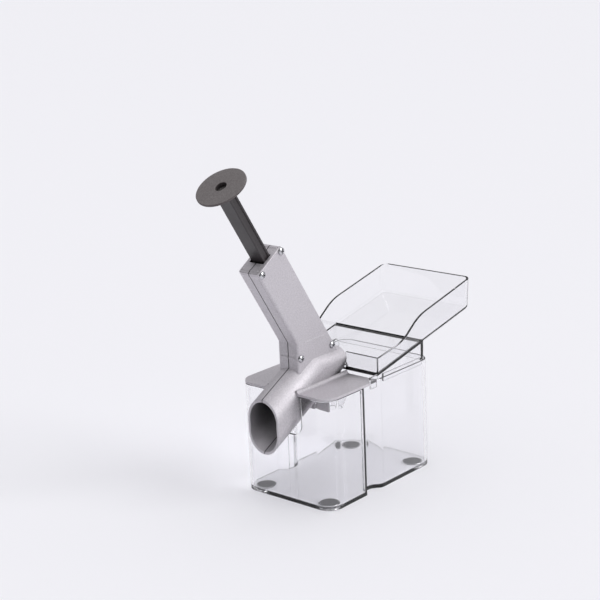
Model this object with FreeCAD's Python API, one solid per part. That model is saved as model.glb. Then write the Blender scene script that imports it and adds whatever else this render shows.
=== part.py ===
import FreeCAD, Part
import math
import os
from FreeCAD import Vector

# Cherry pitter with a sprung push plunger, millimetres.
# X runs along the clear container, from the outlet chute at -X to the hopper tray at +X.
# Y runs across it, +Z is up. The origin is the middle of the container's footprint, on the table.

# Clear container.
TUB_LENGTH = 130.0
TUB_WIDTH = 90.0
TUB_HEIGHT = 89.5
TUB_WALL = 2.2
TUB_FLOOR = 2.6
TUB_CORNER = 13.0
GROOVE_SETBACK = 43.0
GROOVE_DEPTH = 6.2
GROOVE_ENTRY = 4.6
GROOVE_FLAT = 4.6
GROOVE_RETURN = 13.0
NOTCH_SIDE_GAP = 2.6
NOTCH_BOTTOM_GAP = 0.6
NOTCH_CORNER = 9.0

# Rubber feet under the container.
FOOT_RADIUS = 7.5
FOOT_DROP = 0.8
FOOT_POCKET = 1.2
FOOT_INSET = 13.0

# Clearances.
SEAT_GAP = 0.2
LIFT_GAP = 0.4
SLIDE_GAP = 0.3
NEEDLE_GAP = 0.09
FIT_GAP = 0.05
SEAM_GAP = 0.1

# Flange of the press casting.
FLANGE_LENGTH = 60.0
FLANGE_THICKNESS = 2.0
FLANGE_FOOT_RADIUS = 2.6

# Outlet chute and pitting tunnel.
CHUTE_OVERHANG = 22.5
CHUTE_HALF_WIDTH = 15.2
CHUTE_HEIGHT = 38.6
CHUTE_ANGLE = 27.3
CHUTE_WALL = 2.0
TUNNEL_RISE = 22.7
TUNNEL_CORNER = 10.0

# Plunger axis and press housing.
PLUNGER_SETBACK = 52.2
PLUNGER_TILT = 32.2
HOUSING_TOP = 128.7
HOUSING_FRONT = 16.7
HOUSING_BACK = 14.5
HOUSING_HALF_WIDTH = 10.0
HOUSING_WALL = 2.0
HOUSING_CAP = 3.0
HOUSING_EDGE = 2.0
HOUSING_TOP_ROUND = 3.6
TOE_SETBACK = 9.0
RULE_RISE = 36.4
RULE_SETBACK = 7.8
RULE_LENGTH = 22.0
RULE_WIDTH = 1.0
RULE_PROUD = 0.35

# Plunger.
BAR_WIDTH = 13.0
BAR_DEPTH = 8.0
BAR_GROOVE_WIDTH = 4.2
BAR_GROOVE_DEPTH = 0.8
BAR_CORNER = 0.7
BAR_FRONT_GAP = 1.8
KNOB_TOP = 198.7
KNOB_RADIUS = 19.4
KNOB_HEIGHT = 7.0
KNOB_BOSS_RADIUS = 9.5
KNOB_PLATE = 1.8
KNOB_RECESS_RADIUS = 4.4
KNOB_RECESS_DEPTH = 4.0
SPIGOT_WIDTH = 9.0
SPIGOT_DEPTH = 5.0
SPIGOT_HEIGHT = 2.4
CARRIER_THICKNESS = 3.0
NEEDLE_RADIUS = 1.75
NEEDLE_LENGTH = 82.0
NEEDLE_HIDE = 3.5
NEEDLE_CUP_RADIUS = 1.1
NEEDLE_CUP_DEPTH = 1.6
NEEDLE_SEAT = 12.0
PIN_RADIUS = 1.0
PIN_RISE = 7.5
STOP_RIB_WIDTH = 3.2
STOP_RIB_HEIGHT = 3.0

# Return spring.
SPRING_RADIUS = 4.4
SPRING_WIRE_RADIUS = 0.6
SPRING_WIRE_SIDES = 5
SPRING_TURNS = 5
SPRING_END_PITCH = 1.9
SPRING_WASHER_RADIUS = 5.6
SPRING_WASHER_THICKNESS = 0.6

# Needle guide, which strips the fruit from the needle.
GUIDE_BOSS_RADIUS = 6.6
GUIDE_BOSS_BOTTOM = 24.5
GUIDE_BOSS_TOP = 31.5
GUIDE_RADIUS = 3.4
GUIDE_HEAD_RADIUS = 5.8
GUIDE_HEAD = 0.9

# Star washer that holds the fruit.
SEAT_BOSS_RADIUS = 10.6
SEAT_LEVEL = 2.6
SEAT_BOSS_DEPTH = 7.0
WASHER_RADIUS = 8.4
WASHER_THICKNESS = 2.4
WASHER_BORE_RADIUS = 2.4
WASHER_SLITS = 6
WASHER_SLIT_WIDTH = 0.7
WASHER_SLIT_REACH = 6.0
PIT_BORE_RADIUS = 6.6

# Pit funnel below the seat.
SKIRT_SETBACK = 36.0
SKIRT_WALL = 2.0
SKIRT_DEPTH = 23.3
RAIL_LEDGE = 1.4
RAIL_LEDGE_THICKNESS = 1.2
FUNNEL_HANG = 12.5
FUNNEL_SETBACK = 1.4
FUNNEL_PLATE = 1.5
FUNNEL_RADIUS = 11.7
FUNNEL_SPOUT_RADIUS = 5.5
FUNNEL_DEPTH = 15.5
FUNNEL_FACETS = 28
FUNNEL_WALL = 1.2

# Screws.
SCREW_RADIUS = 1.5
SCREW_LENGTH = 15.0
SCREW_HEAD_RADIUS = 2.8
SCREW_HEAD_HEIGHT = 1.9
SCREW_SLOT_WIDTH = 0.8
SCREW_SLOT_DEPTH = 0.9
SCREW_BOSS_WALL = 1.8
SCREW_INSET = 3.0
LOW_SCREW_RISE = 25.0
TOE_SCREW_RISE = 25.6

# Clear hopper tray.
TRAY_LENGTH = 123.5
TRAY_GAP = 0.6
TRAY_WALL = 2.0
TRAY_FLOOR = 2.0
TRAY_RISE = 2.1
TRAY_ANGLE = 11.8
TRAY_FRONT_HEIGHT = 14.5
TRAY_STEP_SETBACK = 32.4
TRAY_STEP_LENGTH = 22.0
TRAY_STEP_RISE = 15.7
TRAY_STEP_ROUND = 9.0
TRAY_LOW_SLOPE = 9.1
TRAY_HIGH_SLOPE = 12.3
TRAY_BACK_LEAN = 5.0
TRAY_CORNER = 6.0
TRAY_BOTTOM_EDGE = 3.0
TRAY_GATE_HALF_WIDTH = 13.0
TRAY_SKIRT_LENGTH = 58.0
LIP_DEPTH = 4.0
LIP_WALL = 1.5
LIP_LEDGE = 2.0
LIP_SETBACK = 8.0
TAB_LENGTH = 9.4
TAB_DEPTH = 5.6
TAB_WALL = 1.6
TAB_RISE = 4.0
TAB_STEP = 1.6
TAB_OVERLAP = 2.4

# Places that follow from the sizes above.
FRONT_X = -TUB_LENGTH / 2
HALF_WIDTH = TUB_WIDTH / 2
RIM_Z = FOOT_DROP + TUB_HEIGHT
LEDGE_Z = RIM_Z - FLANGE_THICKNESS - SEAT_GAP
FLANGE_Z = LEDGE_Z + SEAT_GAP
FLANGE_TOP = FLANGE_Z + FLANGE_THICKNESS
FLANGE_END_X = FRONT_X + FLANGE_LENGTH
MOUTH_X = FRONT_X - CHUTE_OVERHANG
CHUTE_SLOPE = math.tan(math.radians(CHUTE_ANGLE))
CHUTE_WALL_RISE = CHUTE_WALL / math.cos(math.radians(CHUTE_ANGLE))
TUNNEL_TOP = FLANGE_Z + TUNNEL_RISE
PLUNGER_X = FRONT_X + PLUNGER_SETBACK
TILT = math.radians(PLUNGER_TILT)
UP_AXIS = Vector(-math.sin(TILT), 0, math.cos(TILT))
BACK_AXIS = Vector(math.cos(TILT), 0, math.sin(TILT))
TOE_X = FRONT_X + TOE_SETBACK
SPRING_SEAT = GUIDE_BOSS_TOP + GUIDE_HEAD
NEEDLE_TIP = GUIDE_BOSS_BOTTOM + NEEDLE_HIDE
BAR_BOTTOM = NEEDLE_TIP + NEEDLE_LENGTH - NEEDLE_SEAT
FLOOR_LEVEL = (CHUTE_WALL_RISE - CHUTE_SLOPE * (FLANGE_LENGTH - PLUNGER_SETBACK)) / (
    UP_AXIS.z - CHUTE_SLOPE * UP_AXIS.x)
SEAT_TOP = FLOOR_LEVEL + SEAT_LEVEL
FUNNEL_TOP_Z = FLANGE_Z - FUNNEL_HANG
FUNNEL_X = PLUNGER_X + FUNNEL_HANG * math.tan(TILT) + FUNNEL_SETBACK
KNOB_BOTTOM = KNOB_TOP - KNOB_HEIGHT
INNER_HALF_WIDTH = HOUSING_HALF_WIDTH - HOUSING_WALL
FAR = 400.0
TRAY_X = FLANGE_END_X + TRAY_GAP
TRAY_FLOOR_Z = RIM_Z + TRAY_RISE
SKIRT_Z = RIM_Z + SEAT_GAP


def solid(shape):
    """Return the one solid of a shape made by a cut or a fuse."""
    clean = shape.removeSplitter()
    if len(clean.Solids) == 1:
        return clean.Solids[0]
    return clean


def prism(points, move):
    """Extrude the flat outline through the points along the move vector."""
    return Part.Face(Part.makePolygon(points + points[:1])).extrude(move)


def axis_point(u, v=0.0, y=0.0):
    """Point u along the plunger axis above the flange plane and v behind it."""
    return Vector(PLUNGER_X, y, FLANGE_Z) + UP_AXIS * u + BACK_AXIS * v


def axis_rod(radius, low, high, v=0.0):
    """Round bar along the plunger axis between two heights."""
    return Part.makeCylinder(radius, high - low, axis_point(low, v), UP_AXIS)


def axis_block(low, high, front, back, half):
    """Block along the plunger axis, from front to back of it and half as wide on each side."""
    corners = [axis_point(low, front), axis_point(low, back), axis_point(high, back), axis_point(high, front)]
    return prism([p + Vector(0, -half, 0) for p in corners], Vector(0, 2 * half, 0))


def height_at_z(z, v):
    """Height along the plunger axis where the line v behind it reaches z."""
    return (z - FLANGE_Z - v * BACK_AXIS.z) / UP_AXIS.z


def height_at_x(x, v):
    """Height along the plunger axis where the line v behind it reaches x."""
    return (x - PLUNGER_X - v * BACK_AXIS.x) / UP_AXIS.x


def chute_bottom(x):
    """Height of the chute's underside, which runs out at the flange's back edge."""
    return FLANGE_Z - CHUTE_SLOPE * (FLANGE_END_X - x)


def arc(start, middle, end):
    """Arc edge through three points."""
    return Part.Arc(start, middle, end).toShape()


def line(start, end):
    """Straight edge between two points."""
    return Part.LineSegment(start, end).toShape()


def corner_arc(cx, cy, radius, start_angle, z):
    """Quarter circle, anticlockwise from the start angle in degrees."""
    a, b, c = [math.radians(start_angle + turn) for turn in (0, 45, 90)]
    return arc(*[Vector(cx + radius * math.cos(t), cy + radius * math.sin(t), z) for t in (a, b, c)])


def groove_edges(side, z):
    """Edges of one long wall, from front to back, with the upright key groove in it."""
    y = side * HALF_WIDTH
    deep = side * (HALF_WIDTH - GROOVE_DEPTH)
    x1 = FRONT_X + GROOVE_SETBACK
    x2 = x1 + GROOVE_ENTRY
    x3 = x2 + GROOVE_FLAT
    x5 = x3 + GROOVE_RETURN
    x4 = (x3 + x5) / 2
    mid = (y + deep) / 2
    bend = (GROOVE_RETURN ** 2 + GROOVE_DEPTH ** 2) / (4 * GROOVE_DEPTH)
    half = math.asin(GROOVE_RETURN / 2 / bend) / 2
    reach = bend * math.sin(half)
    dip = bend * (1 - math.cos(half))
    return [
        line(Vector(FRONT_X + TUB_CORNER, y, z), Vector(x1, y, z)),
        line(Vector(x1, y, z), Vector(x2, deep, z)),
        line(Vector(x2, deep, z), Vector(x3, deep, z)),
        arc(Vector(x3, deep, z), Vector(x3 + reach, deep + side * dip, z), Vector(x4, mid, z)),
        arc(Vector(x4, mid, z), Vector(x5 - reach, y - side * dip, z), Vector(x5, y, z)),
        line(Vector(x5, y, z), Vector(-FRONT_X - TUB_CORNER, y, z)),
    ]


def tub_outline(z):
    """Closed outline of the container seen from above."""
    ex = -FRONT_X - TUB_CORNER
    ey = HALF_WIDTH - TUB_CORNER
    edges = groove_edges(-1, z)
    edges.append(corner_arc(ex, -ey, TUB_CORNER, -90, z))
    edges.append(line(Vector(-FRONT_X, -ey, z), Vector(-FRONT_X, ey, z)))
    edges.append(corner_arc(ex, ey, TUB_CORNER, 0, z))
    edges += groove_edges(1, z)
    edges.append(corner_arc(-ex, ey, TUB_CORNER, 90, z))
    edges.append(line(Vector(FRONT_X, ey, z), Vector(FRONT_X, -ey, z)))
    edges.append(corner_arc(-ex, -ey, TUB_CORNER, 180, z))
    return Part.Wire(Part.__sortEdges__(edges))


def foot_places():
    """Centres of the four feet, with the names of their corners."""
    x = -FRONT_X - FOOT_INSET
    y = HALF_WIDTH - FOOT_INSET
    return {"front_near": (-x, -y), "front_far": (-x, y), "back_near": (x, -y), "back_far": (x, y)}


def container():
    """Clear container with its key grooves, outlet notch and stepped rim."""
    outer = Part.Face(tub_outline(FOOT_DROP))
    inner = Part.Face(tub_outline(FOOT_DROP + TUB_FLOOR).makeOffset2D(-TUB_WALL))
    body = outer.extrude(Vector(0, 0, TUB_HEIGHT))
    body = body.cut(inner.extrude(Vector(0, 0, TUB_HEIGHT)))
    step = Part.makeBox(FLANGE_LENGTH + FAR, 2 * FAR, FAR, Vector(FRONT_X - FAR + LIFT_GAP, -FAR, LEDGE_Z))
    body = body.cut(step)
    half = CHUTE_HALF_WIDTH + NOTCH_SIDE_GAP
    low = chute_bottom(FRONT_X) - NOTCH_BOTTOM_GAP
    notch = Part.makeBox(2 * TUB_CORNER, 2 * half, FAR, Vector(FRONT_X - TUB_CORNER, -half, low))
    bottom = [e for e in notch.Edges if is_under(e, low) and abs(e.CenterOfMass.y) > half / 2]
    body = body.cut(notch.makeFillet(NOTCH_CORNER, bottom))
    for x, y in foot_places().values():
        body = body.cut(Part.makeCylinder(FOOT_RADIUS + FIT_GAP, FOOT_POCKET, Vector(x, y, FOOT_DROP)))
    return solid(body)


def foot(x, y):
    """Round rubber foot, set into a pocket in the container's floor."""
    return Part.makeCylinder(FOOT_RADIUS, FOOT_DROP + FOOT_POCKET, Vector(x, y, 0))


def stadium(half, height, low_z):
    """Prism along the chute's slope whose square section is a stadium, from before the mouth back."""
    along = Vector(math.cos(math.radians(CHUTE_ANGLE)), 0, math.sin(math.radians(CHUTE_ANGLE)))
    square = Vector(-along.z, 0, along.x)
    start = Vector(MOUTH_X, 0, low_z) - along * CHUTE_HEIGHT
    low = start + square * half
    high = start + square * (height - half)
    side = Vector(0, half, 0)
    edges = [
        line(high - side, low - side),
        arc(low - side, start, low + side),
        line(low + side, high + side),
        arc(high + side, start + square * height, high - side),
    ]
    return Part.Face(Part.Wire(edges)).extrude(along * FAR)


def tunnel_cap(half, top, radius):
    """Level prism from the mouth to the tunnel's end, under the tunnel's rounded roof."""
    x = MOUTH_X
    low = FLANGE_Z - FAR / 2
    k = radius * math.sqrt(0.5)
    edges = [
        line(Vector(x, -half, low), Vector(x, -half, top - radius)),
        arc(Vector(x, -half, top - radius), Vector(x, radius - half - k, top - radius + k),
            Vector(x, radius - half, top)),
        line(Vector(x, radius - half, top), Vector(x, half - radius, top)),
        arc(Vector(x, half - radius, top), Vector(x, half - radius + k, top - radius + k),
            Vector(x, half, top - radius)),
        line(Vector(x, half, top - radius), Vector(x, half, low)),
        line(Vector(x, half, low), Vector(x, -half, low)),
    ]
    return Part.Face(Part.Wire(edges)).extrude(Vector(FLANGE_END_X - MOUTH_X, 0, 0))


def tube(inset):
    """Chute and tunnel as one solid, or its inside when inset by the wall."""
    half = CHUTE_HALF_WIDTH - inset
    low = chute_bottom(MOUTH_X) + inset / math.cos(math.radians(CHUTE_ANGLE))
    slope = stadium(half, CHUTE_HEIGHT - 2 * inset, low)
    return slope.common(tunnel_cap(half, TUNNEL_TOP - inset, TUNNEL_CORNER - inset))


def plain_outline(z):
    """Rounded rectangle of the container without its grooves."""
    ex = -FRONT_X - TUB_CORNER
    ey = HALF_WIDTH - TUB_CORNER
    edges = [
        line(Vector(-ex, -HALF_WIDTH, z), Vector(ex, -HALF_WIDTH, z)),
        corner_arc(ex, -ey, TUB_CORNER, -90, z),
        line(Vector(-FRONT_X, -ey, z), Vector(-FRONT_X, ey, z)),
        corner_arc(ex, ey, TUB_CORNER, 0, z),
        line(Vector(ex, HALF_WIDTH, z), Vector(-ex, HALF_WIDTH, z)),
        corner_arc(-ex, ey, TUB_CORNER, 90, z),
        line(Vector(FRONT_X, ey, z), Vector(FRONT_X, -ey, z)),
        corner_arc(-ex, -ey, TUB_CORNER, 180, z),
    ]
    return Part.Wire(edges)


def flange():
    """Flat flange that lies in the rim's step, slotted for the tray's tabs."""
    plate = Part.Face(plain_outline(FLANGE_Z)).extrude(Vector(0, 0, FLANGE_THICKNESS))
    plate = plate.common(Part.makeBox(FLANGE_LENGTH, 2 * FAR, FAR, Vector(FRONT_X, -FAR, FLANGE_Z)))
    start = TRAY_X - TAB_LENGTH - LIFT_GAP
    deep = HALF_WIDTH - TAB_WALL - LIFT_GAP
    for y in (deep, -deep - FAR):
        plate = plate.cut(Part.makeBox(FAR, FAR, FAR, Vector(start, y, FLANGE_Z - FAR / 2)))
    return plate


def flange_foot(side):
    """Concave strip in the corner between the tunnel wall and the flange."""
    inside = side * (CHUTE_HALF_WIDTH - CHUTE_WALL / 2)
    y0 = side * CHUTE_HALF_WIDTH
    y1 = side * (CHUTE_HALF_WIDTH + FLANGE_FOOT_RADIUS)
    z0 = FLANGE_TOP
    z1 = FLANGE_TOP + FLANGE_FOOT_RADIUS
    bend = FLANGE_FOOT_RADIUS * (1 - math.sqrt(0.5))
    edges = [
        line(Vector(FRONT_X, inside, z0), Vector(FRONT_X, y1, z0)),
        arc(Vector(FRONT_X, y1, z0), Vector(FRONT_X, y0 + side * bend, z0 + bend), Vector(FRONT_X, y0, z1)),
        line(Vector(FRONT_X, y0, z1), Vector(FRONT_X, inside, z1)),
        line(Vector(FRONT_X, inside, z1), Vector(FRONT_X, inside, z0)),
    ]
    return Part.Face(Part.Wire(edges)).extrude(Vector(FLANGE_LENGTH, 0, 0))


def housing_outline(inset, top, back_z, toe_z):
    """Side view of the press housing: the leaning box and its upright toe."""
    front = inset - HOUSING_FRONT
    back = HOUSING_BACK - inset
    toe = TOE_X + inset
    knee = axis_point(height_at_x(toe, front), front)
    return [
        axis_point(top, front),
        axis_point(top, back),
        axis_point(height_at_z(back_z, back), back),
        Vector(toe, 0, toe_z),
        knee,
    ]


def housing_prism(inset, top, back_z, toe_z, half):
    """The housing's side view, as wide as half on each side of the middle."""
    points = [p + Vector(0, -half, 0) for p in housing_outline(inset, top, back_z, toe_z)]
    return prism(points, Vector(0, 2 * half, 0))


def housing_block():
    """Outside of the housing, with rounded edges along both sides and a round top back corner."""
    back_z = TUNNEL_TOP - TUNNEL_CORNER / 2
    toe_z = FLANGE_TOP + CHUTE_WALL
    block = housing_prism(0, HOUSING_TOP, back_z, toe_z, HOUSING_HALF_WIDTH)
    edges = [e for e in block.Edges if not is_under(e, back_z) and not is_across(e) and not is_on_top(e)]
    block = block.makeFillet(HOUSING_EDGE, edges)
    low = HOUSING_TOP - HOUSING_TOP_ROUND
    front = HOUSING_BACK - HOUSING_TOP_ROUND
    half = HOUSING_HALF_WIDTH + FIT_GAP
    corner = axis_block(low, HOUSING_TOP + FIT_GAP, front, HOUSING_BACK + FIT_GAP, half)
    start = axis_point(low, front, -half)
    rounding = Part.makeCylinder(HOUSING_TOP_ROUND, 2 * half, start, Vector(0, 1, 0))
    return block.cut(corner.cut(rounding))


def is_under(edge, z):
    """Whether the whole edge lies at or below z."""
    return max(v.Z for v in edge.Vertexes) < z + FIT_GAP


def is_across(edge):
    """Whether the edge runs across the press, from the near side to the far one."""
    return abs(edge.CenterOfMass.y) < FIT_GAP


def is_on_top(edge):
    """Whether the edge bounds the housing's top."""
    return min((v.Point - axis_point(HOUSING_TOP)).dot(UP_AXIS) for v in edge.Vertexes) > -FIT_GAP


def skirt():
    """Front wall below the flange that keeps the pits off the chute, with rails behind it."""
    x = FRONT_X + SKIRT_SETBACK
    half = CHUTE_HALF_WIDTH
    inner = half - SKIRT_WALL
    ledge_z = FUNNEL_TOP_Z - FUNNEL_PLATE - RAIL_LEDGE_THICKNESS
    length = FLANGE_END_X - x
    wall = Part.makeBox(SKIRT_WALL, 2 * half, SKIRT_DEPTH, Vector(x, -half, FLANGE_Z - SKIRT_DEPTH))
    parts = [wall]
    for y0, y1, z1 in ((inner, half, FLANGE_Z), (inner - RAIL_LEDGE, inner, ledge_z + RAIL_LEDGE_THICKNESS)):
        for low, high in ((y0, y1), (-y1, -y0)):
            parts.append(Part.makeBox(length, high - low, z1 - ledge_z, Vector(x, low, ledge_z)))
    return parts


def screw_places():
    """Where the four screws go, as points on the mid-plane."""
    return {
        "top_front": axis_point(HOUSING_TOP - SCREW_INSET, SCREW_INSET - HOUSING_FRONT),
        "top_back": axis_point(HOUSING_TOP - SCREW_INSET, HOUSING_BACK - SCREW_INSET),
        "low_back": axis_point(LOW_SCREW_RISE, HOUSING_BACK - SCREW_INSET),
        "toe": Vector(TOE_X + SCREW_INSET, 0, FLANGE_Z + TOE_SCREW_RISE),
    }


def casting():
    """Press casting with its inside, bosses, guides and screw holes."""
    outside = tube(0)
    outside = outside.fuse([flange(), flange_foot(-1), flange_foot(1), housing_block()] + skirt())
    bore = tube(CHUTE_WALL)
    cavity_top = HOUSING_TOP - HOUSING_CAP
    cavity = housing_prism(HOUSING_WALL, cavity_top, TUNNEL_TOP, TUNNEL_TOP, INNER_HALF_WIDTH)
    body = outside.cut([bore, cavity])
    seat = axis_rod(SEAT_BOSS_RADIUS, SEAT_TOP - SEAT_BOSS_DEPTH, SEAT_TOP)
    seat = seat.common(Part.makeBox(FAR, 2 * FAR, FAR, Vector(FLANGE_END_X - FAR, -FAR, FLANGE_Z - FAR / 2)))
    additions = [seat, axis_rod(GUIDE_BOSS_RADIUS, GUIDE_BOSS_BOTTOM, GUIDE_BOSS_TOP)]
    rib_low = BAR_BOTTOM + CARRIER_THICKNESS + SLIDE_GAP
    front = HOUSING_WALL - HOUSING_FRONT
    back = HOUSING_BACK - HOUSING_WALL
    rib_high = rib_low + STOP_RIB_HEIGHT
    rib_half = INNER_HALF_WIDTH + FIT_GAP
    additions.append(axis_block(rib_low, rib_high, front - FIT_GAP, front + STOP_RIB_WIDTH, rib_half))
    additions.append(axis_block(rib_low, rib_high, back - STOP_RIB_WIDTH, back + FIT_GAP, rib_half))
    boss = SCREW_RADIUS + SCREW_BOSS_WALL
    for place in screw_places().values():
        start = place + Vector(0, -INNER_HALF_WIDTH - FIT_GAP, 0)
        rod = Part.makeCylinder(boss, 2 * (INNER_HALF_WIDTH + FIT_GAP), start, Vector(0, 1, 0))
        additions.append(rod)
    additions.append(rule())
    body = body.fuse(additions)
    holes = [
        axis_rod(GUIDE_RADIUS + FIT_GAP, GUIDE_BOSS_BOTTOM - GUIDE_BOSS_RADIUS, GUIDE_BOSS_TOP + FIT_GAP),
        axis_rod(WASHER_RADIUS + FIT_GAP, SEAT_TOP - WASHER_THICKNESS, SEAT_TOP + WASHER_THICKNESS),
        axis_rod(PIT_BORE_RADIUS, SEAT_TOP - SEAT_BOSS_DEPTH - CHUTE_HALF_WIDTH / 2, SEAT_TOP),
        axis_block(HOUSING_TOP - HOUSING_CAP - FIT_GAP, HOUSING_TOP + FIT_GAP, -BAR_DEPTH / 2 - BAR_FRONT_GAP,
                   BAR_DEPTH / 2 + SLIDE_GAP, BAR_WIDTH / 2 + SLIDE_GAP),
    ]
    for place in screw_places().values():
        start = place + Vector(0, -HOUSING_HALF_WIDTH - FIT_GAP, 0)
        depth = SCREW_LENGTH + 2 * FIT_GAP
        holes.append(Part.makeCylinder(SCREW_RADIUS + FIT_GAP, depth, start, Vector(0, 1, 0)))
    return body.cut(holes)


def rule():
    """Short raised rule across the near face of the housing."""
    start = TOE_X + RULE_SETBACK
    low = Vector(start, -HOUSING_HALF_WIDTH - RULE_PROUD, FLANGE_Z + RULE_RISE)
    return Part.makeBox(RULE_LENGTH, 2 * RULE_PROUD, RULE_WIDTH, low)


def half_shell(body, side):
    """One half of the casting, on the near (-1) or far (1) side of the seam."""
    y = SEAM_GAP / 2 if side > 0 else -FAR - SEAM_GAP / 2
    return solid(body.common(Part.makeBox(2 * FAR, FAR, 2 * FAR, Vector(-FAR, y, -FAR / 2))))


def screw(place):
    """Screw with a raised head and a crossed recess, let in from the near side."""
    face = place + Vector(0, -HOUSING_HALF_WIDTH, 0)
    out = Vector(0, -1, 0)
    head = Part.makeCylinder(SCREW_HEAD_RADIUS, SCREW_HEAD_HEIGHT, face, out)
    for w, h in ((SCREW_SLOT_WIDTH, SCREW_HEAD_RADIUS), (SCREW_HEAD_RADIUS, SCREW_SLOT_WIDTH)):
        corner = face + Vector(-w / 2, -SCREW_HEAD_HEIGHT - SCREW_SLOT_DEPTH, -h / 2)
        head = head.cut(Part.makeBox(w, 2 * SCREW_SLOT_DEPTH, h, corner))
    return solid(head.fuse(Part.makeCylinder(SCREW_RADIUS, SCREW_LENGTH, face, Vector(0, 1, 0))))


def needle_guide():
    """Flanged bush that guides the needle, strips the fruit and seats the spring."""
    bush = axis_rod(GUIDE_RADIUS, GUIDE_BOSS_BOTTOM, GUIDE_BOSS_TOP)
    bush = bush.fuse(axis_rod(GUIDE_HEAD_RADIUS, GUIDE_BOSS_TOP, SPRING_SEAT))
    return solid(bush.cut(axis_rod(NEEDLE_RADIUS + NEEDLE_GAP, GUIDE_BOSS_BOTTOM, SPRING_SEAT)))


def star_washer():
    """Rubber washer with slits in a star round its bore."""
    low = SEAT_TOP - WASHER_THICKNESS
    disc = axis_rod(WASHER_RADIUS, low, SEAT_TOP)
    cuts = [axis_rod(WASHER_BORE_RADIUS, low, SEAT_TOP)]
    for i in range(WASHER_SLITS // 2):
        slit = axis_block(low, SEAT_TOP, -WASHER_SLIT_REACH, WASHER_SLIT_REACH, WASHER_SLIT_WIDTH / 2)
        slit.rotate(axis_point(0), UP_AXIS, i * 360 / WASHER_SLITS)
        cuts.append(slit)
    return solid(disc.cut(cuts))


def pit_funnel():
    """Clear funnel on a plate that slides onto the rails below the seat."""
    x = FRONT_X + SKIRT_SETBACK + SKIRT_WALL + FIT_GAP
    half = CHUTE_HALF_WIDTH - SKIRT_WALL - FIT_GAP
    low = FUNNEL_TOP_Z - FUNNEL_PLATE
    plate = Part.makeBox(FUNNEL_X - x, 2 * half, FUNNEL_PLATE, Vector(x, -half, low))
    plate = plate.fuse(Part.makeCylinder(half, FUNNEL_PLATE, Vector(FUNNEL_X, 0, low)))
    cone = taper(FUNNEL_SPOUT_RADIUS, FUNNEL_RADIUS, low)
    bore = taper(FUNNEL_SPOUT_RADIUS - FUNNEL_WALL, FUNNEL_RADIUS - FUNNEL_WALL, low)
    mouth = Part.makeCylinder(FUNNEL_RADIUS - FUNNEL_WALL, FUNNEL_PLATE, Vector(FUNNEL_X, 0, low))
    return solid(plate.fuse(cone).cut([bore, mouth]))


def taper(low_radius, high_radius, high_z):
    """The funnel's tapered outside or bore, hanging from high_z."""
    rings = []
    for radius, z in ((low_radius, high_z - FUNNEL_DEPTH), (high_radius, high_z)):
        circle = Part.Circle(Vector(FUNNEL_X, 0, z), Vector(0, 0, 1), radius)
        rings.append([circle.value(2 * math.pi * i / FUNNEL_FACETS) for i in range(FUNNEL_FACETS)])
    low, high = rings
    faces = [Part.Face(Part.makePolygon(ring + ring[:1])) for ring in rings]
    for i in range(FUNNEL_FACETS):
        corners = [low[i - 1], low[i], high[i], high[i - 1]]
        faces.append(Part.Face(Part.makePolygon(corners + corners[:1])))
    return Part.makeSolid(Part.makeShell(faces))


def plunger_bar():
    """Flat grooved bar of the plunger with its carrier plate and top spigot."""
    bar = axis_block(BAR_BOTTOM, KNOB_BOTTOM, -BAR_DEPTH / 2, BAR_DEPTH / 2, BAR_WIDTH / 2)
    long_edges = [e for e in bar.Edges if e.Length > BAR_WIDTH + BAR_DEPTH]
    bar = bar.makeFillet(BAR_CORNER, long_edges)
    groove_low = BAR_BOTTOM + NEEDLE_SEAT
    groove_high = KNOB_BOTTOM - BAR_GROOVE_DEPTH
    groove_half = BAR_GROOVE_WIDTH / 2
    for side in (-1, 1):
        groove = axis_block(groove_low, groove_high, -groove_half, groove_half, BAR_GROOVE_DEPTH)
        groove.translate(Vector(0, side * BAR_WIDTH / 2, 0))
        bar = bar.cut(groove)
    front = HOUSING_FRONT - HOUSING_WALL - SLIDE_GAP
    back = HOUSING_BACK - HOUSING_WALL - SLIDE_GAP
    carrier_half = INNER_HALF_WIDTH - SLIDE_GAP
    carrier = axis_block(BAR_BOTTOM, BAR_BOTTOM + CARRIER_THICKNESS, -front, back, carrier_half)
    spigot_top = KNOB_BOTTOM + SPIGOT_HEIGHT
    spigot = axis_block(KNOB_BOTTOM, spigot_top, -SPIGOT_DEPTH / 2, SPIGOT_DEPTH / 2, SPIGOT_WIDTH / 2)
    bar = bar.fuse([carrier, spigot])
    socket = axis_rod(NEEDLE_RADIUS + FIT_GAP, BAR_BOTTOM, BAR_BOTTOM + NEEDLE_SEAT + FIT_GAP)
    return solid(bar.cut([socket, pin(FIT_GAP)]))


def knob():
    """Flat round push knob with a recess in its middle and a stepped boss under it."""
    profile = [
        (0, KNOB_BOTTOM), (KNOB_BOSS_RADIUS, KNOB_BOTTOM), (KNOB_BOSS_RADIUS, KNOB_TOP - KNOB_PLATE),
        (KNOB_RADIUS, KNOB_TOP - KNOB_PLATE), (KNOB_RADIUS, KNOB_TOP),
        (KNOB_RECESS_RADIUS, KNOB_TOP), (KNOB_RECESS_RADIUS, KNOB_TOP - KNOB_RECESS_DEPTH),
        (0, KNOB_TOP - KNOB_RECESS_DEPTH),
    ]
    points = [axis_point(u, r) for r, u in profile]
    turned = Part.Face(Part.makePolygon(points + points[:1])).revolve(axis_point(0), UP_AXIS, 360)
    socket = axis_block(KNOB_BOTTOM, KNOB_BOTTOM + SPIGOT_HEIGHT + FIT_GAP, -SPIGOT_DEPTH / 2 - FIT_GAP,
                        SPIGOT_DEPTH / 2 + FIT_GAP, SPIGOT_WIDTH / 2 + FIT_GAP)
    return solid(turned.cut(socket))


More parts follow.
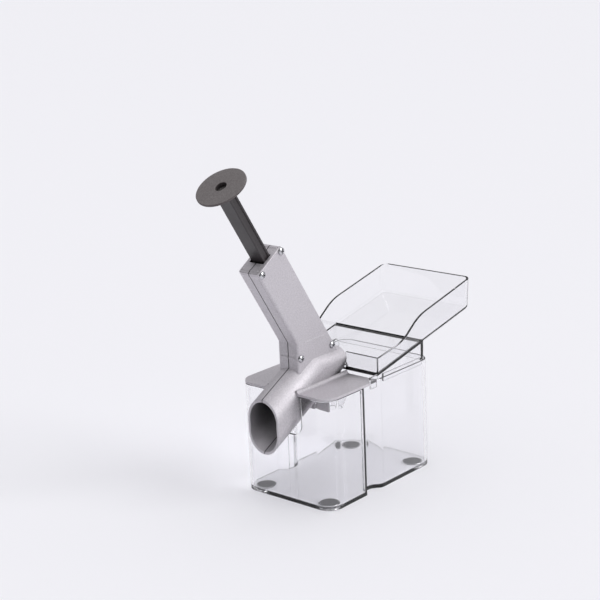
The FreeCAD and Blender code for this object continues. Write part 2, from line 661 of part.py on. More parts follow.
def needle():
    """Steel needle with a cupped tip, seated in the bar."""
    rod = axis_rod(NEEDLE_RADIUS, NEEDLE_TIP, BAR_BOTTOM + NEEDLE_SEAT)
    cup = axis_rod(NEEDLE_CUP_RADIUS, NEEDLE_TIP, NEEDLE_TIP + NEEDLE_CUP_DEPTH)
    return solid(rod.cut([cup, pin(FIT_GAP)]))


def pin(extra):
    """Cross pin that holds the needle in the bar, or its hole when made larger."""
    half = BAR_WIDTH / 2 - BAR_CORNER + extra
    start = axis_point(BAR_BOTTOM + PIN_RISE, 0, -half)
    return Part.makeCylinder(PIN_RADIUS + extra, 2 * half, start, Vector(0, 1, 0))


def spring_washer():
    """Thin steel washer between the spring and the carrier plate."""
    low = BAR_BOTTOM - SPRING_WASHER_THICKNESS
    ring = axis_rod(SPRING_WASHER_RADIUS, low, BAR_BOTTOM)
    return solid(ring.cut(axis_rod(NEEDLE_RADIUS + FIT_GAP, low, BAR_BOTTOM)))


def spring_points():
    """Quarter-turn points of the spring's centre line and its direction there."""
    low = SPRING_SEAT + SPRING_WIRE_RADIUS + FIT_GAP
    high = BAR_BOTTOM - SPRING_WASHER_THICKNESS - SPRING_WIRE_RADIUS - FIT_GAP
    quarters = 4 * SPRING_TURNS
    middle = (high - low - 2 * SPRING_END_PITCH) / (SPRING_TURNS - 2)
    rises = [SPRING_END_PITCH / 4 if i < 4 or i >= quarters - 4 else middle / 4 for i in range(quarters)]
    levels = [low + sum(rises[:i]) for i in range(quarters + 1)]
    slopes = [(rises[max(i - 1, 0)] + rises[min(i, quarters - 1)]) / 2 for i in range(quarters + 1)]
    side_axis = Vector(0, 1, 0)
    points = []
    for i, (level, slope) in enumerate(zip(levels, slopes)):
        angle = i * math.pi / 2
        out = BACK_AXIS * math.cos(angle) + side_axis * math.sin(angle)
        along = side_axis * math.cos(angle) - BACK_AXIS * math.sin(angle)
        ahead = along * (SPRING_RADIUS * math.pi / 2) + UP_AXIS * slope
        points.append((axis_point(level) + out * SPRING_RADIUS, ahead.normalize()))
    return points


def tangent_arc(start, corner, end):
    """Arc from start to end whose tangents meet at the corner."""
    leg = (corner - start).Length
    half = (corner - start).getAngle(end - corner) / 2
    radius = leg / math.tan(half)
    inward = ((start + end) * 0.5 - corner).normalize()
    return arc(start, corner + inward * (radius / math.cos(half) - radius), end)


def biarc(first, second):
    """Two tangent arcs between two points with given directions."""
    p0, t0 = first
    p1, t1 = second
    chord = p1 - p0
    total = t0 + t1
    a = 2 * (1 - t0.dot(t1))
    b = chord.dot(total)
    reach = (math.sqrt(b * b + a * chord.dot(chord)) - b) / a
    q0 = p0 + t0 * reach
    q1 = p1 - t1 * reach
    joint = (q0 + q1) * 0.5
    return [tangent_arc(p0, q0, joint), tangent_arc(joint, q1, p1)]


def return_spring():
    """Compression spring as one unbroken wire."""
    points = spring_points()
    edges = []
    for first, second in zip(points, points[1:]):
        edges += biarc(first, second)
    path = Part.Wire(edges)
    start, ahead = points[0]
    circle = Part.Circle(start, ahead, SPRING_WIRE_RADIUS)
    corners = [circle.value(2 * math.pi * i / SPRING_WIRE_SIDES) for i in range(SPRING_WIRE_SIDES)]
    ring = Part.makePolygon(corners + corners[:1])
    section = Part.Face(ring).Area
    wire = path.makePipeShell([ring], True, False)
    samples = path.discretize(40 * SPRING_TURNS + 1)
    turn = len(samples) // SPRING_TURNS
    gaps = [(samples[i] - samples[j]).Length for i in range(len(samples))
            for j in range(i + turn // 2, min(i + 2 * turn, len(samples)))]
    print("spring: least gap between turns", round(min(gaps) - 2 * SPRING_WIRE_RADIUS, 3))
    print("spring: volume over section times length",
          round(wire.Volume / (section * path.Length), 4))
    return wire


def slope_rise(run, degrees):
    """Rise of a straight slope over a run."""
    return run * math.tan(math.radians(degrees))


def rounded_path(points, leg):
    """Straight edges through the points, with every inner corner turned into an arc."""
    edges = []
    last = points[0]
    for before, corner, after in zip(points, points[1:], points[2:]):
        start = corner + (before - corner).normalize() * leg
        end = corner + (after - corner).normalize() * leg
        edges += [line(last, start), tangent_arc(start, corner, end)]
        last = end
    return edges + [line(last, points[-1])]


def tray_block(inset, floor, half, corner, edge, top_extra):
    """The tray's outside, or its hollow when inset, with rounded back and bottom edges."""
    x0 = TRAY_X + inset
    x1 = TRAY_X + TRAY_LENGTH - inset
    z0 = TRAY_FLOOR_Z + slope_rise(inset, TRAY_ANGLE) + floor
    z1 = TRAY_FLOOR_Z + slope_rise(TRAY_LENGTH - inset, TRAY_ANGLE) + floor
    front_top = TRAY_FLOOR_Z + TRAY_FRONT_HEIGHT + top_extra
    step_z = front_top + slope_rise(TRAY_STEP_SETBACK, TRAY_LOW_SLOPE)
    step = Vector(TRAY_X + TRAY_STEP_SETBACK, -half, step_z)
    landing = step + Vector(TRAY_STEP_LENGTH, 0, TRAY_STEP_RISE)
    lean = math.tan(math.radians(TRAY_BACK_LEAN))
    slope = math.tan(math.radians(TRAY_HIGH_SLOPE))
    back_rise = (landing.z + (x1 - landing.x) * slope - z1) / (1 - lean * slope)
    back_top = Vector(x1 + lean * back_rise, -half, z1 + back_rise)
    first = Vector(x0, -half, front_top + slope_rise(inset, TRAY_LOW_SLOPE))
    edges = rounded_path([first, step, landing, back_top], TRAY_STEP_ROUND)
    edges += [line(back_top, Vector(x1, -half, z1)), line(Vector(x1, -half, z1), Vector(x0, -half, z0))]
    edges += [line(Vector(x0, -half, z0), first)]
    block = Part.Face(Part.Wire(edges)).extrude(Vector(0, 2 * half, 0))
    back = [e for e in block.Edges if min(v.X for v in e.Vertexes) > x1 - FIT_GAP]
    block = block.makeFillet(corner, [e for e in back if not is_across(e)])
    low = [e for e in block.Edges if on_floor(e, z0, z1, x0, x1)]
    return block.makeFillet(edge, low)


def on_floor(edge, z0, z1, x0, x1):
    """Whether every corner of the edge lies on the sloping floor, off its front end."""
    slope = (z1 - z0) / (x1 - x0)
    if edge.CenterOfMass.x < x0 + FIT_GAP:
        return False
    return all(abs(v.Z - z0 - (v.X - x0) * slope) < FIT_GAP for v in edge.Vertexes)


def tray_side(side):
    """Skirt, inner lip and tab of one side of the tray."""
    outer = HALF_WIDTH
    end_x = TRAY_X + TRAY_SKIRT_LENGTH
    rise = TRAY_BOTTOM_EDGE + TRAY_WALL
    front_z = TRAY_FLOOR_Z + rise
    back_z = front_z + slope_rise(TRAY_SKIRT_LENGTH, TRAY_ANGLE)
    corners = [(TRAY_X, SKIRT_Z), (end_x, SKIRT_Z), (end_x, back_z), (TRAY_X, front_z)]
    skirt_points = [Vector(x, outer - TRAY_WALL, z) for x, z in corners]
    lip_outer = outer - TUB_WALL - LIFT_GAP
    lip_inner = lip_outer - LIP_WALL
    lip_x = TRAY_X + LIP_SETBACK
    lip_length = TRAY_SKIRT_LENGTH - LIP_SETBACK
    lip_height = LIP_DEPTH + SEAT_GAP + LIP_LEDGE
    lip = Part.makeBox(lip_length, LIP_WALL, lip_height, Vector(lip_x, lip_inner, RIM_Z - LIP_DEPTH))
    ledge = Part.makeBox(lip_length, outer - lip_inner, LIP_LEDGE, Vector(lip_x, lip_inner, SKIRT_Z))
    tab_y = outer - TAB_WALL
    tab_x = TRAY_X - TAB_LENGTH
    tab_height = TAB_DEPTH + TAB_RISE
    tab = Part.makeBox(TAB_LENGTH - TAB_STEP, TAB_WALL, tab_height, Vector(tab_x, tab_y, RIM_Z - TAB_DEPTH))
    arm = Part.makeBox(TAB_LENGTH + TAB_OVERLAP, TAB_WALL, TAB_RISE - SEAT_GAP, Vector(tab_x, tab_y, SKIRT_Z))
    parts = [prism(skirt_points, Vector(0, TRAY_WALL, 0)), lip, ledge, tab, arm]
    if side > 0:
        return parts
    return [p.mirror(Vector(0, 0, 0), Vector(0, 1, 0)) for p in parts]


def hopper_tray():
    """Clear tray that feeds the tunnel, with the skirt that stands it on the rim."""
    body = tray_block(0, 0, HALF_WIDTH, TRAY_CORNER, TRAY_BOTTOM_EDGE, 0)
    cross_x = TRAY_X + TRAY_SKIRT_LENGTH - TRAY_WALL
    cross_rise = slope_rise(TRAY_SKIRT_LENGTH - TRAY_WALL, TRAY_ANGLE) + TRAY_FLOOR / 2
    cross_height = TRAY_FLOOR_Z + cross_rise - SKIRT_Z
    cross = Part.makeBox(TRAY_WALL, 2 * HALF_WIDTH, cross_height, Vector(cross_x, -HALF_WIDTH, SKIRT_Z))
    body = body.fuse(tray_side(-1) + tray_side(1) + [cross])
    inner = HALF_WIDTH - TRAY_WALL
    floor = TRAY_FLOOR / math.cos(math.radians(TRAY_ANGLE))
    inner_corner = TRAY_CORNER - TRAY_WALL
    inner_edge = TRAY_BOTTOM_EDGE / 2
    hollow = tray_block(TRAY_WALL, floor, inner, inner_corner, inner_edge, TRAY_FRONT_HEIGHT * 2)
    sill = Vector(TRAY_X - TRAY_WALL, -TRAY_GATE_HALF_WIDTH, TRAY_FLOOR_Z + floor)
    gate = Part.makeBox(3 * TRAY_WALL, 2 * TRAY_GATE_HALF_WIDTH, FAR, sill)
    return solid(body.cut([hollow, gate]))


def main():
    """Build every piece and write it to its own file."""
    os.makedirs("parts", exist_ok=True)
    body = casting()
    pieces = {"container": container(), "hopper_tray": hopper_tray()}
    for name, (x, y) in foot_places().items():
        pieces["foot_" + name] = foot(x, y)
    pieces["shell_near"] = half_shell(body, -1)
    pieces["shell_far"] = half_shell(body, 1)
    for name, place in screw_places().items():
        pieces["screw_" + name] = screw(place)
    pieces["needle_guide"] = needle_guide()
    pieces["star_washer"] = star_washer()
    pieces["pit_funnel"] = pit_funnel()
    pieces["plunger_bar"] = plunger_bar()
    pieces["knob"] = knob()
    pieces["needle"] = needle()
    pieces["needle_pin"] = pin(0)
    pieces["spring_washer"] = spring_washer()
    pieces["return_spring"] = return_spring()
    for name, shape in pieces.items():
        print(name, "solids", len(shape.Solids), "valid", shape.isValid(), "volume", round(shape.Volume, 1))
        shape.exportStep("parts/" + name + ".step")


main()
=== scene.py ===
import logging
import math
from dataclasses import dataclass, field
from enum import Enum
from functools import cache, cached_property
from typing import Callable, Dict, List, Sequence, Tuple

import bpy
from mathutils import Matrix, Vector
from mathutils.bvhtree import BVHTree


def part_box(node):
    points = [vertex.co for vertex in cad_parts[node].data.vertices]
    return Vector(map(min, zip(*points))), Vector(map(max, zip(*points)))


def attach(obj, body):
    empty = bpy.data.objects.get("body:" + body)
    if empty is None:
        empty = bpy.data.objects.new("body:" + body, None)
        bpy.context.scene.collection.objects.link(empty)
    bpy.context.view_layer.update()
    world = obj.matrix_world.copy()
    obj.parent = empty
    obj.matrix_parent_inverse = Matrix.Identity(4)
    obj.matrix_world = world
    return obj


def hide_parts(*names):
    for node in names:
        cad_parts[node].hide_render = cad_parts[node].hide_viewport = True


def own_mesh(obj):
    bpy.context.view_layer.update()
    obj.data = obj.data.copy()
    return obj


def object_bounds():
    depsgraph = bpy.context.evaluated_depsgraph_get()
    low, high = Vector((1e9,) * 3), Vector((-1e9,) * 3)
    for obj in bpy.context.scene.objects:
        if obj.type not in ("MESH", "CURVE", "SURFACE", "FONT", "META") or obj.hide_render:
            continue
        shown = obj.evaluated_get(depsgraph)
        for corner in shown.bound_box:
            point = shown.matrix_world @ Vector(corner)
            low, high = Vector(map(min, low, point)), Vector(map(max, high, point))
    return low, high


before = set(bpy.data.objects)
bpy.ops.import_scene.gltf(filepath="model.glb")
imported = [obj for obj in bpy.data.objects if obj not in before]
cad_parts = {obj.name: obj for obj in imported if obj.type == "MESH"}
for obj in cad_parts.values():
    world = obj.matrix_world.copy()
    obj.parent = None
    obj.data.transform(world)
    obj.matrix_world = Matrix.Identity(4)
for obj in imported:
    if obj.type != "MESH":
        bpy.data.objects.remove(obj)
CAD_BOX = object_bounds()

LOG = logging.getLogger("pitter")
MM = 0.001
Color = Tuple[float, float, float]
Piece = bpy.types.Object
Point = bpy.types.MeshVertex
Edge = bpy.types.MeshEdge
Face = bpy.types.MeshPolygon
Node = bpy.types.Node
Socket = bpy.types.NodeSocket
Value = Socket | Color | float
Tree = bpy.types.ShaderNodeTree
Material = bpy.types.Material
RadiusAt = Callable[[Vector, Vector, Vector], float]

# The plunger's axis: its tilt from the upright, and its foot in millimetres.
PLUNGER_TILT = math.radians(32.2)
PLUNGER_FOOT = Vector((-12.8, 0.0, 88.3))
UP_AXIS = Vector((-math.sin(PLUNGER_TILT), 0.0, math.cos(PLUNGER_TILT)))
BACK_AXIS = Vector((math.cos(PLUNGER_TILT), 0.0, math.sin(PLUNGER_TILT)))
ACROSS = Vector((0.0, 1.0, 0.0))
UP = Vector((0.0, 0.0, 1.0))

# Least angle of an edge of a CAD node that is rounded, in degrees.
SHARP = 28.0
# How far from the middle plane an edge still counts as the seam's, in millimetres.
SEAM_REACH = 0.1
# Points nearer than this are joined, in millimetres, and faces within this angle, in degrees.
WELD = 0.002
FLAT = 0.5
# How much of its radius a rounding may stand out of the CAD's faces.
STRAY_SHARE = 0.5
# A move below this is none, in metres.
STILL = 1e-6
# How strongly the large faces rule the shading.
FLAT_WEIGHT = 90
WEIGHTS = "bevel_weight_edge"


class Pick(Enum):
    """Kinds of mesh element that can be selected."""

    FACES = "FACE"
    POINTS = "VERT"


def axis_point(u: float, v: float = 0.0, y: float = 0.0) -> Vector:
    """Return the point u up the plunger axis, v behind it and y across, in millimetres."""
    return PLUNGER_FOOT + UP_AXIS * u + BACK_AXIS * v + ACROSS * y


def box_middle(node: str) -> Vector:
    """Return the middle of a CAD node's box, in millimetres."""
    low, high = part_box(node)
    return (Vector(low) + Vector(high)) / 2 / MM


def deselect() -> None:
    """Leave edit mode and select nothing."""
    if bpy.context.object is not None and bpy.context.object.mode != "OBJECT":
        bpy.ops.object.mode_set(mode="OBJECT")
    bpy.ops.object.select_all(action="DESELECT")


def focus(piece: Piece) -> None:
    """Select one piece alone and make it active.

    Args:
        piece: The piece.
    """
    deselect()
    piece.select_set(True)
    bpy.context.view_layer.objects.active = piece


def apply_all(piece: Piece) -> None:
    """Apply every modifier of a piece in order.

    Args:
        piece: The piece.
    """
    focus(piece)
    for modifier in list(piece.modifiers):
        bpy.ops.object.modifier_apply(modifier=modifier.name)


def twin(piece: Piece, name: str) -> Piece:
    """Copy a piece with a mesh of its own.

    Args:
        piece: The piece.
        name: The copy's name.

    Returns:
        The copy, in the scene.
    """
    copy = piece.copy()
    copy.data = piece.data.copy()
    copy.name = name
    bpy.context.collection.objects.link(copy)
    return copy


def select_only(piece: Piece, pick: Pick, wanted: Callable[[Face | Point], bool]) -> None:
    """Select the elements of the edited piece that pass a test, and no others.

    Args:
        piece: The piece in edit mode.
        pick: The kind of element.
        wanted: The test.
    """
    bpy.ops.mesh.select_mode(type=pick.value)
    bpy.ops.mesh.select_all(action="DESELECT")
    bpy.ops.object.mode_set(mode="OBJECT")
    for element in piece.data.polygons if pick is Pick.FACES else piece.data.vertices:
        element.select = wanted(element)
    bpy.ops.object.mode_set(mode="EDIT")


def round_edges(piece: Piece, radius: float, segments: int, limit: float) -> None:
    """Round every edge of a piece that is sharper than the limit.

    Args:
        piece: The piece.
        radius: Width of the rounding, in the piece's own units.
        segments: Faces across the rounding.
        limit: Least angle of a sharp edge, in degrees.
    """
    bevel = piece.modifiers.new("edge_radius", "BEVEL")
    bevel.width = radius
    bevel.segments = segments
    bevel.limit_method = "ANGLE"
    bevel.angle_limit = math.radians(limit)
    bevel.use_clamp_overlap = False
    apply_all(piece)


def smooth(piece: Piece, limit: float) -> None:
    """Shade a piece smooth, with its flat faces kept flat.

    Args:
        piece: The piece.
        limit: Least angle of an edge that stays sharp, in degrees.
    """
    focus(piece)
    bpy.ops.object.shade_smooth_by_angle(angle=math.radians(limit))
    weights = piece.modifiers.new("flat_faces", "WEIGHTED_NORMAL")
    weights.keep_sharp = True
    weights.weight = FLAT_WEIGHT
    apply_all(piece)


def seat(piece: Piece, start: Vector, axis: Vector) -> None:
    """Move a piece modelled in millimetres along +Z to its place and into metres.

    Args:
        piece: The piece, modelled at the origin.
        start: Where its origin goes, in millimetres.
        axis: Where its +Z goes.
    """
    turn = axis.to_track_quat("Z", "Y").to_matrix().to_4x4()
    piece.data.transform(Matrix.Scale(MM, 4) @ Matrix.Translation(start) @ turn)


def turned(name: str, profile: Sequence[Tuple[float, float]], sides: int) -> Piece:
    """Model a turned piece from its profile, ring by ring, as on a lathe.

    Args:
        name: The piece's name.
        profile: Radius and height of each ring, in millimetres, from the bottom face to the last.
        sides: Points in each ring.

    Returns:
        The closed piece, standing on the origin.
    """
    deselect()
    radius, height = profile[0]
    bpy.ops.mesh.primitive_circle_add(
        vertices=sides, radius=radius, fill_type="NGON", location=(0.0, 0.0, 0.0))
    piece = bpy.context.object
    piece.name = name
    bpy.ops.object.mode_set(mode="EDIT")
    bpy.ops.mesh.select_mode(type="FACE")
    bpy.ops.mesh.select_all(action="SELECT")
    bpy.ops.transform.translate(value=(0.0, 0.0, height))
    for next_radius, next_height in profile[1:]:
        rise = (0.0, 0.0, next_height - height)
        bpy.ops.mesh.extrude_region_move(TRANSFORM_OT_translate={"value": rise})
        scale = next_radius / radius
        bpy.ops.transform.resize(value=(scale, scale, 1.0), center_override=(0.0, 0.0, next_height))
        radius, height = next_radius, next_height
    bpy.ops.mesh.select_all(action="SELECT")
    bpy.ops.mesh.normals_make_consistent(inside=False)
    bpy.ops.object.mode_set(mode="OBJECT")
    return piece


@dataclass
class EdgeRoom:
    """Finds how far each sharp edge of a mesh may be rounded before it meets its neighbours."""

    mesh: bpy.types.Mesh
    widest: float
    share: float = 0.45
    sideways: float = 0.6

    def weigh(self, radius_at: RadiusAt) -> None:
        """Store a bevel weight on each sharp edge, smaller where there is little room.

        Args:
            radius_at: Gives the wanted radius in millimetres from an edge's middle, also in
                millimetres, and the normals of its two faces.
        """
        sides = self._sides()
        meeting = self._meeting()
        weights = self.mesh.attributes.new(WEIGHTS, "FLOAT", "EDGE")
        for edge in self.mesh.edges:
            faces = sides.get(edge.key, [])
            if len(faces) != 2 or faces[0].normal.angle(faces[1].normal, 0.0) < math.radians(SHARP):
                continue
            first, second = (self.mesh.vertices[index].co for index in edge.vertices)
            wanted = radius_at((first + second) / 2 / MM, faces[0].normal, faces[1].normal) * MM
            room = self.share * self._room(edge, meeting)
            weights.data[edge.index].value = min(wanted, room) / self.widest

    def _sides(self) -> Dict[Tuple[int, int], List[Face]]:
        """Find the faces at each edge.

        Returns:
            The faces, by the edge's key.
        """
        sides: Dict[Tuple[int, int], List[Face]] = {}
        for face in self.mesh.polygons:
            for key in face.edge_keys:
                sides.setdefault(key, []).append(face)
        return sides

    def _meeting(self) -> Dict[int, List[Edge]]:
        """Find the edges that meet at each point.

        Returns:
            The edges, by the point's index.
        """
        meeting: Dict[int, List[Edge]] = {}
        for edge in self.mesh.edges:
            for index in edge.vertices:
                meeting.setdefault(index, []).append(edge)
        return meeting

    def _along(self, edge: Edge) -> Vector:
        """Return the vector along an edge."""
        first, second = (self.mesh.vertices[index].co for index in edge.vertices)
        return second - first

    def _room(self, edge: Edge, meeting: Dict[int, List[Edge]]) -> float:
        """Measure the edges that leave the ends of an edge sideways.

        Args:
            edge: The edge.
            meeting: The edges at each point.

        Returns:
            The least length of those edges, in metres.
        """
        along = self._along(edge).normalized()
        room = math.inf
        for index in edge.vertices:
            for other in meeting[index]:
                reach = self._along(other)
                across = (reach - along * reach.dot(along)).length
                if other.index != edge.index and across > self.sideways * reach.length:
                    room = min(room, across)
        return room


def settle(piece: Piece, node: str, stray: float) -> None:
    """Bring back the few points of a rounding that stand out of a CAD node's faces or box.

    Args:
        piece: The rounded copy.
        node: The CAD node.
        stray: How far a point may stand out of the nearest face, in metres.
    """
    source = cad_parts[node].data
    points = [point.co for point in source.vertices]
    faces = BVHTree.FromPolygons(points, [face.vertices for face in source.polygons])
    low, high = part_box(node)
    for point in piece.data.vertices:
        near, normal, _, gap = faces.find_nearest(point.co)
        place = near if gap > stray and (point.co - near).dot(normal) > 0.0 else point.co
        place = Vector(min(max(place[i], low[i]), high[i]) for i in range(3))
        if (place - point.co).length > STILL:
            point.co = place


def clean_copy(node: str) -> Piece:
    """Copy a CAD node, with its triangles joined into whole faces.

    Args:
        node: The CAD node.

    Returns:
        The copy.
    """
    piece = twin(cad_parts[node], node + "_finished")
    focus(piece)
    bpy.ops.object.mode_set(mode="EDIT")
    bpy.ops.mesh.select_all(action="SELECT")
    bpy.ops.mesh.remove_doubles(threshold=WELD * MM)
    bpy.ops.mesh.dissolve_limited(angle_limit=math.radians(FLAT))
    bpy.ops.object.mode_set(mode="OBJECT")
    return piece


def soften(piece: Piece, radius_at: RadiusAt, widest: float, segments: int) -> None:
    """Round the sharp edges of a piece, each by its own radius.

    Args:
        piece: The piece.
        radius_at: Gives the radius of each edge in millimetres, or 0 to leave it.
        widest: The largest radius that it gives.
        segments: Faces across each rounded edge.
    """
    EdgeRoom(piece.data, widest * MM).weigh(radius_at)
    bevel = piece.modifiers.new("edge_radius", "BEVEL")
    bevel.width = widest * MM
    bevel.segments = segments
    bevel.limit_method = "WEIGHT"
    bevel.use_clamp_overlap = False
    apply_all(piece)
    weights = piece.data.attributes.get(WEIGHTS)
    if weights is not None:
        piece.data.attributes.remove(weights)


def finished_copy(node: str, radius: float, segments: int) -> Piece:
    """Copy a CAD node and give its sharp edges the small radius of a real moulding.

    Args:
        node: The CAD node.
        radius: Edge radius in millimetres.
        segments: Faces across each rounded edge.

    Returns:
        The finished copy.
    """
    piece = clean_copy(node)
    soften(piece, lambda *_: radius, radius, segments)
    settle(piece, node, STRAY_SHARE * radius * MM)
    smooth(piece, SHARP)
    return piece


class Shared(Enum):
    """Shader groups that finishes share: name, numbers taken with their defaults, and values given."""

    GRAIN = ("fine_grain", {"Scale": 2500.0}, ("Height", "Mask"))
    SMUDGE = ("handled_smudge", {"Low": 0.3, "High": 0.5}, ("Roughness",))
    DUST = ("settled_dust", {"Amount": 0.1}, ("Mask",))
    # Corners lightened: partly rubbed wear, partly a painted highlight.
    EDGE = ("rubbed_edge", {"Amount": 0.5}, ("Mask",))
    # Painted shade: darker deep in hollows.
    HOLLOW = ("deep_hollow", {"Amount": 0.5}, ("Mask",))
    # Painted shade: a dark line in the seam's groove.
    JOINT = ("joint_line", {"Half Width": 0.4 * MM}, ("Mask",))
    FLOW = ("moulding_flow", {"Scale": 18.0}, ("Height",))


class NodePen:
    """Adds nodes to one shader tree and links them."""

    def __init__(self, tree: Tree) -> None:
        """Start on a tree."""
        self.tree = tree

    def add(self, kind: str, values: Dict[str, Value] | None = None) -> Node:
        """Add a shader node.

        Args:
            kind: Its kind.
            values: What its inputs get, by their names.

        Returns:
            The node.
        """
        node = self.tree.nodes.new("ShaderNode" + kind)
        for name, value in (values or {}).items():
            self.link(value, node.inputs[name])
        return node

    def link(self, value: Value, target: Socket) -> None:
        """Link a value to a socket, or write a plain colour or number on it.

        Args:
            value: The value.
            target: The socket that takes it.
        """
        if isinstance(value, tuple):
            target.default_value = (*value, 1.0)
        elif isinstance(value, (int, float)):
            target.default_value = value
        else:
            self.tree.links.new(value, target)

    def split(self, vector: Socket) -> Node:
        """Part a vector into X, Y and Z.

        Args:
            vector: The vector.

        Returns:
            The node that gives them.
        """
        node = self.add("SeparateXYZ")
        self.link(vector, node.inputs[0])
        return node

    def calc(self, operation: str, *values: Socket | float, clamp: bool = False) -> Socket:
        """Add one sum of up to three numbers.

        Args:
            operation: Blender's name of the sum.
            values: Its numbers.
            clamp: Whether the result stays within 0 and 1.

        Returns:
            The result.
        """
        node = self.add("Math")
        node.operation = operation
        node.use_clamp = clamp
        for index, value in enumerate(values):
            self.link(value, node.inputs[index])
        return node.outputs[0]

    def ramp(self, value: Socket, low: float, high: float) -> Node:
        """Spread a number over 0 to 1, or over what is linked to the node later.

        Args:
            value: The number.
            low: What becomes 0.
            high: What becomes 1.

        Returns:
            The node that does it.
        """
        return self.add("MapRange", {"Value": value, "From Min": low, "From Max": high})

    def mix(self, mask: Socket, first: Value, second: Value) -> Socket:
        """Mix two colours.

        Args:
            mask: How much of the second shows.
            first: One colour.
            second: The other colour.

        Returns:
            The colour between them.
        """
        node = self.add("Mix")
        node.data_type = "RGBA"
        self.link(mask, node.inputs["Factor"])
        self.link(first, node.inputs["A"])
        self.link(second, node.inputs["B"])
        return node.outputs["Result"]


class GroupPen(NodePen):
    """Draws one shared group, which takes the place on the piece and some numbers."""

    # The grain's pits: cells to a cell of the noise, and depth against it.
    PIT_CELLS = 0.55
    PIT_DEPTH = 0.5
    # Lighter corners, partly rubbed wear and partly a painted highlight: width of the rounding that is
    # tested, in millimetres, and its samples.
    CORNER = 0.5
    CORNER_SAMPLES = 4
    # Painted shade in hollows: how far the test looks for walls, in millimetres, its samples, and the
    # patches in it.
    HOLLOW_SHADE_REACH = 32.0
    HOLLOW_SHADE_SAMPLES = 6
    HOLLOW_SHADE_PATCH = (0.4, 0.8)
    # Painted shade along the seam: how steeply the dark line fades at its sides, and the specks in it.
    SEAM_SHADE_FADE = 4.0
    SEAM_SHADE_SPECK = (0.4, 0.75)

    def __init__(self, kind: Shared) -> None:
        """Make the group with its sockets and draw it.

        Args:
            kind: Which group.
        """
        name, inputs, outputs = kind.value
        super().__init__(bpy.data.node_groups.new(name, "ShaderNodeTree"))
        sockets = self.tree.interface
        sockets.new_socket(name="Place", in_out="INPUT", socket_type="NodeSocketVector")
        for name, default in inputs.items():
            number = sockets.new_socket(name=name, in_out="INPUT", socket_type="NodeSocketFloat")
            number.default_value = default
        for name in outputs:
            sockets.new_socket(name=name, in_out="OUTPUT", socket_type="NodeSocketFloat")
        self.source = self.tree.nodes.new("NodeGroupInput")
        self.sink = self.tree.nodes.new("NodeGroupOutput")
        drawings: Dict[Shared, Callable[[], None]] = {
            Shared.GRAIN: self._grain,
            Shared.SMUDGE: self._smudge,
            Shared.DUST: self._dust,
            Shared.EDGE: self._edge_wear_and_highlight,
            Shared.HOLLOW: self._hollow_shade,
            Shared.JOINT: self._seam_shade,
            Shared.FLOW: self._flow,
        }
        drawings[kind]()

    def _take(self, name: str) -> Socket:
        """Return what comes into the group under a name."""
        return self.source.outputs[name]

    def _give(self, name: str, value: Socket) -> None:
        """Give a value out of the group under a name."""
        self.link(value, self.sink.inputs[name])

    def _give_mask(self, value: Socket) -> None:
        """Give a value out as the group's mask, by its amount."""
        self._give("Mask", self.calc("MULTIPLY", value, self._take("Amount"), clamp=True))

    def _noise(self, scale: Socket | float, detail: float) -> Socket:
        """Add noise over the piece.

        Args:
            scale: Cells per metre.
            detail: How many finer layers lie on it.

        Returns:
            The noise, from 0 to 1.
        """
        node = self.add("TexNoise", {"Vector": self._take("Place"), "Scale": scale, "Detail": detail})
        return node.outputs["Fac"]

    def _grain(self) -> None:
        """Draw fine blasted or moulded grain."""
        scale = self._take("Scale")
        fine = self._noise(scale, detail=3.0)
        cells = self.calc("MULTIPLY", scale, self.PIT_CELLS)
        pits = self.add("TexVoronoi", {"Vector": self._take("Place"), "Scale": cells})
        pit = pits.outputs["Distance"]
        self._give("Height", self.calc("MULTIPLY_ADD", pit, self.PIT_DEPTH, fine))
        self._give("Mask", fine)

    def _smudge(self) -> None:
        """Draw cloudy roughness from handling."""
        spread = self.ramp(self._noise(scale=55.0, detail=4.0), low=0.3, high=0.7)
        self.link(self._take("Low"), spread.inputs["To Min"])
        self.link(self._take("High"), spread.inputs["To Max"])
        self._give("Roughness", spread.outputs["Result"])

    def _dust(self) -> None:
        """Draw dust on faces that look up."""
        normal = self.split(self.add("NewGeometry").outputs["Normal"])
        speck = self._noise(scale=900.0, detail=2.0)
        self._give_mask(self.calc("MULTIPLY", normal.outputs["Z"], speck, clamp=True))

    def _edge_wear_and_highlight(self) -> None:
        """Draw corners lighter where a rounded normal leaves the face's own: partly rubbed wear, partly a
        painted highlight.
        """
        rounded = self.add("Bevel", {"Radius": self.CORNER * MM})
        rounded.samples = self.CORNER_SAMPLES
        agree = self.add("VectorMath")
        agree.operation = "DOT_PRODUCT"
        self.link(rounded.outputs["Normal"], agree.inputs[0])
        self.link(self.add("NewGeometry").outputs["Normal"], agree.inputs[1])
        corner = self.ramp(agree.outputs["Value"], low=0.995, high=0.9)
        patch = self._noise(scale=260.0, detail=3.0)
        self._give_mask(self.calc("MULTIPLY", corner.outputs["Result"], patch, clamp=True))

    def _hollow_shade(self) -> None:
        """Draw painted shade: the metal darker deep inside a hollow, where little light reaches."""
        inside = self.add("AmbientOcclusion", {"Distance": self.HOLLOW_SHADE_REACH * MM})
        inside.samples = self.HOLLOW_SHADE_SAMPLES
        shaded = self.ramp(inside.outputs["AO"], low=0.62, high=0.3)
        noise = self._noise(scale=90.0, detail=3.0)
        patch = self.calc("MULTIPLY_ADD", noise, *self.HOLLOW_SHADE_PATCH)
        self._give_mask(self.calc("MULTIPLY", shaded.outputs["Result"], patch, clamp=True))

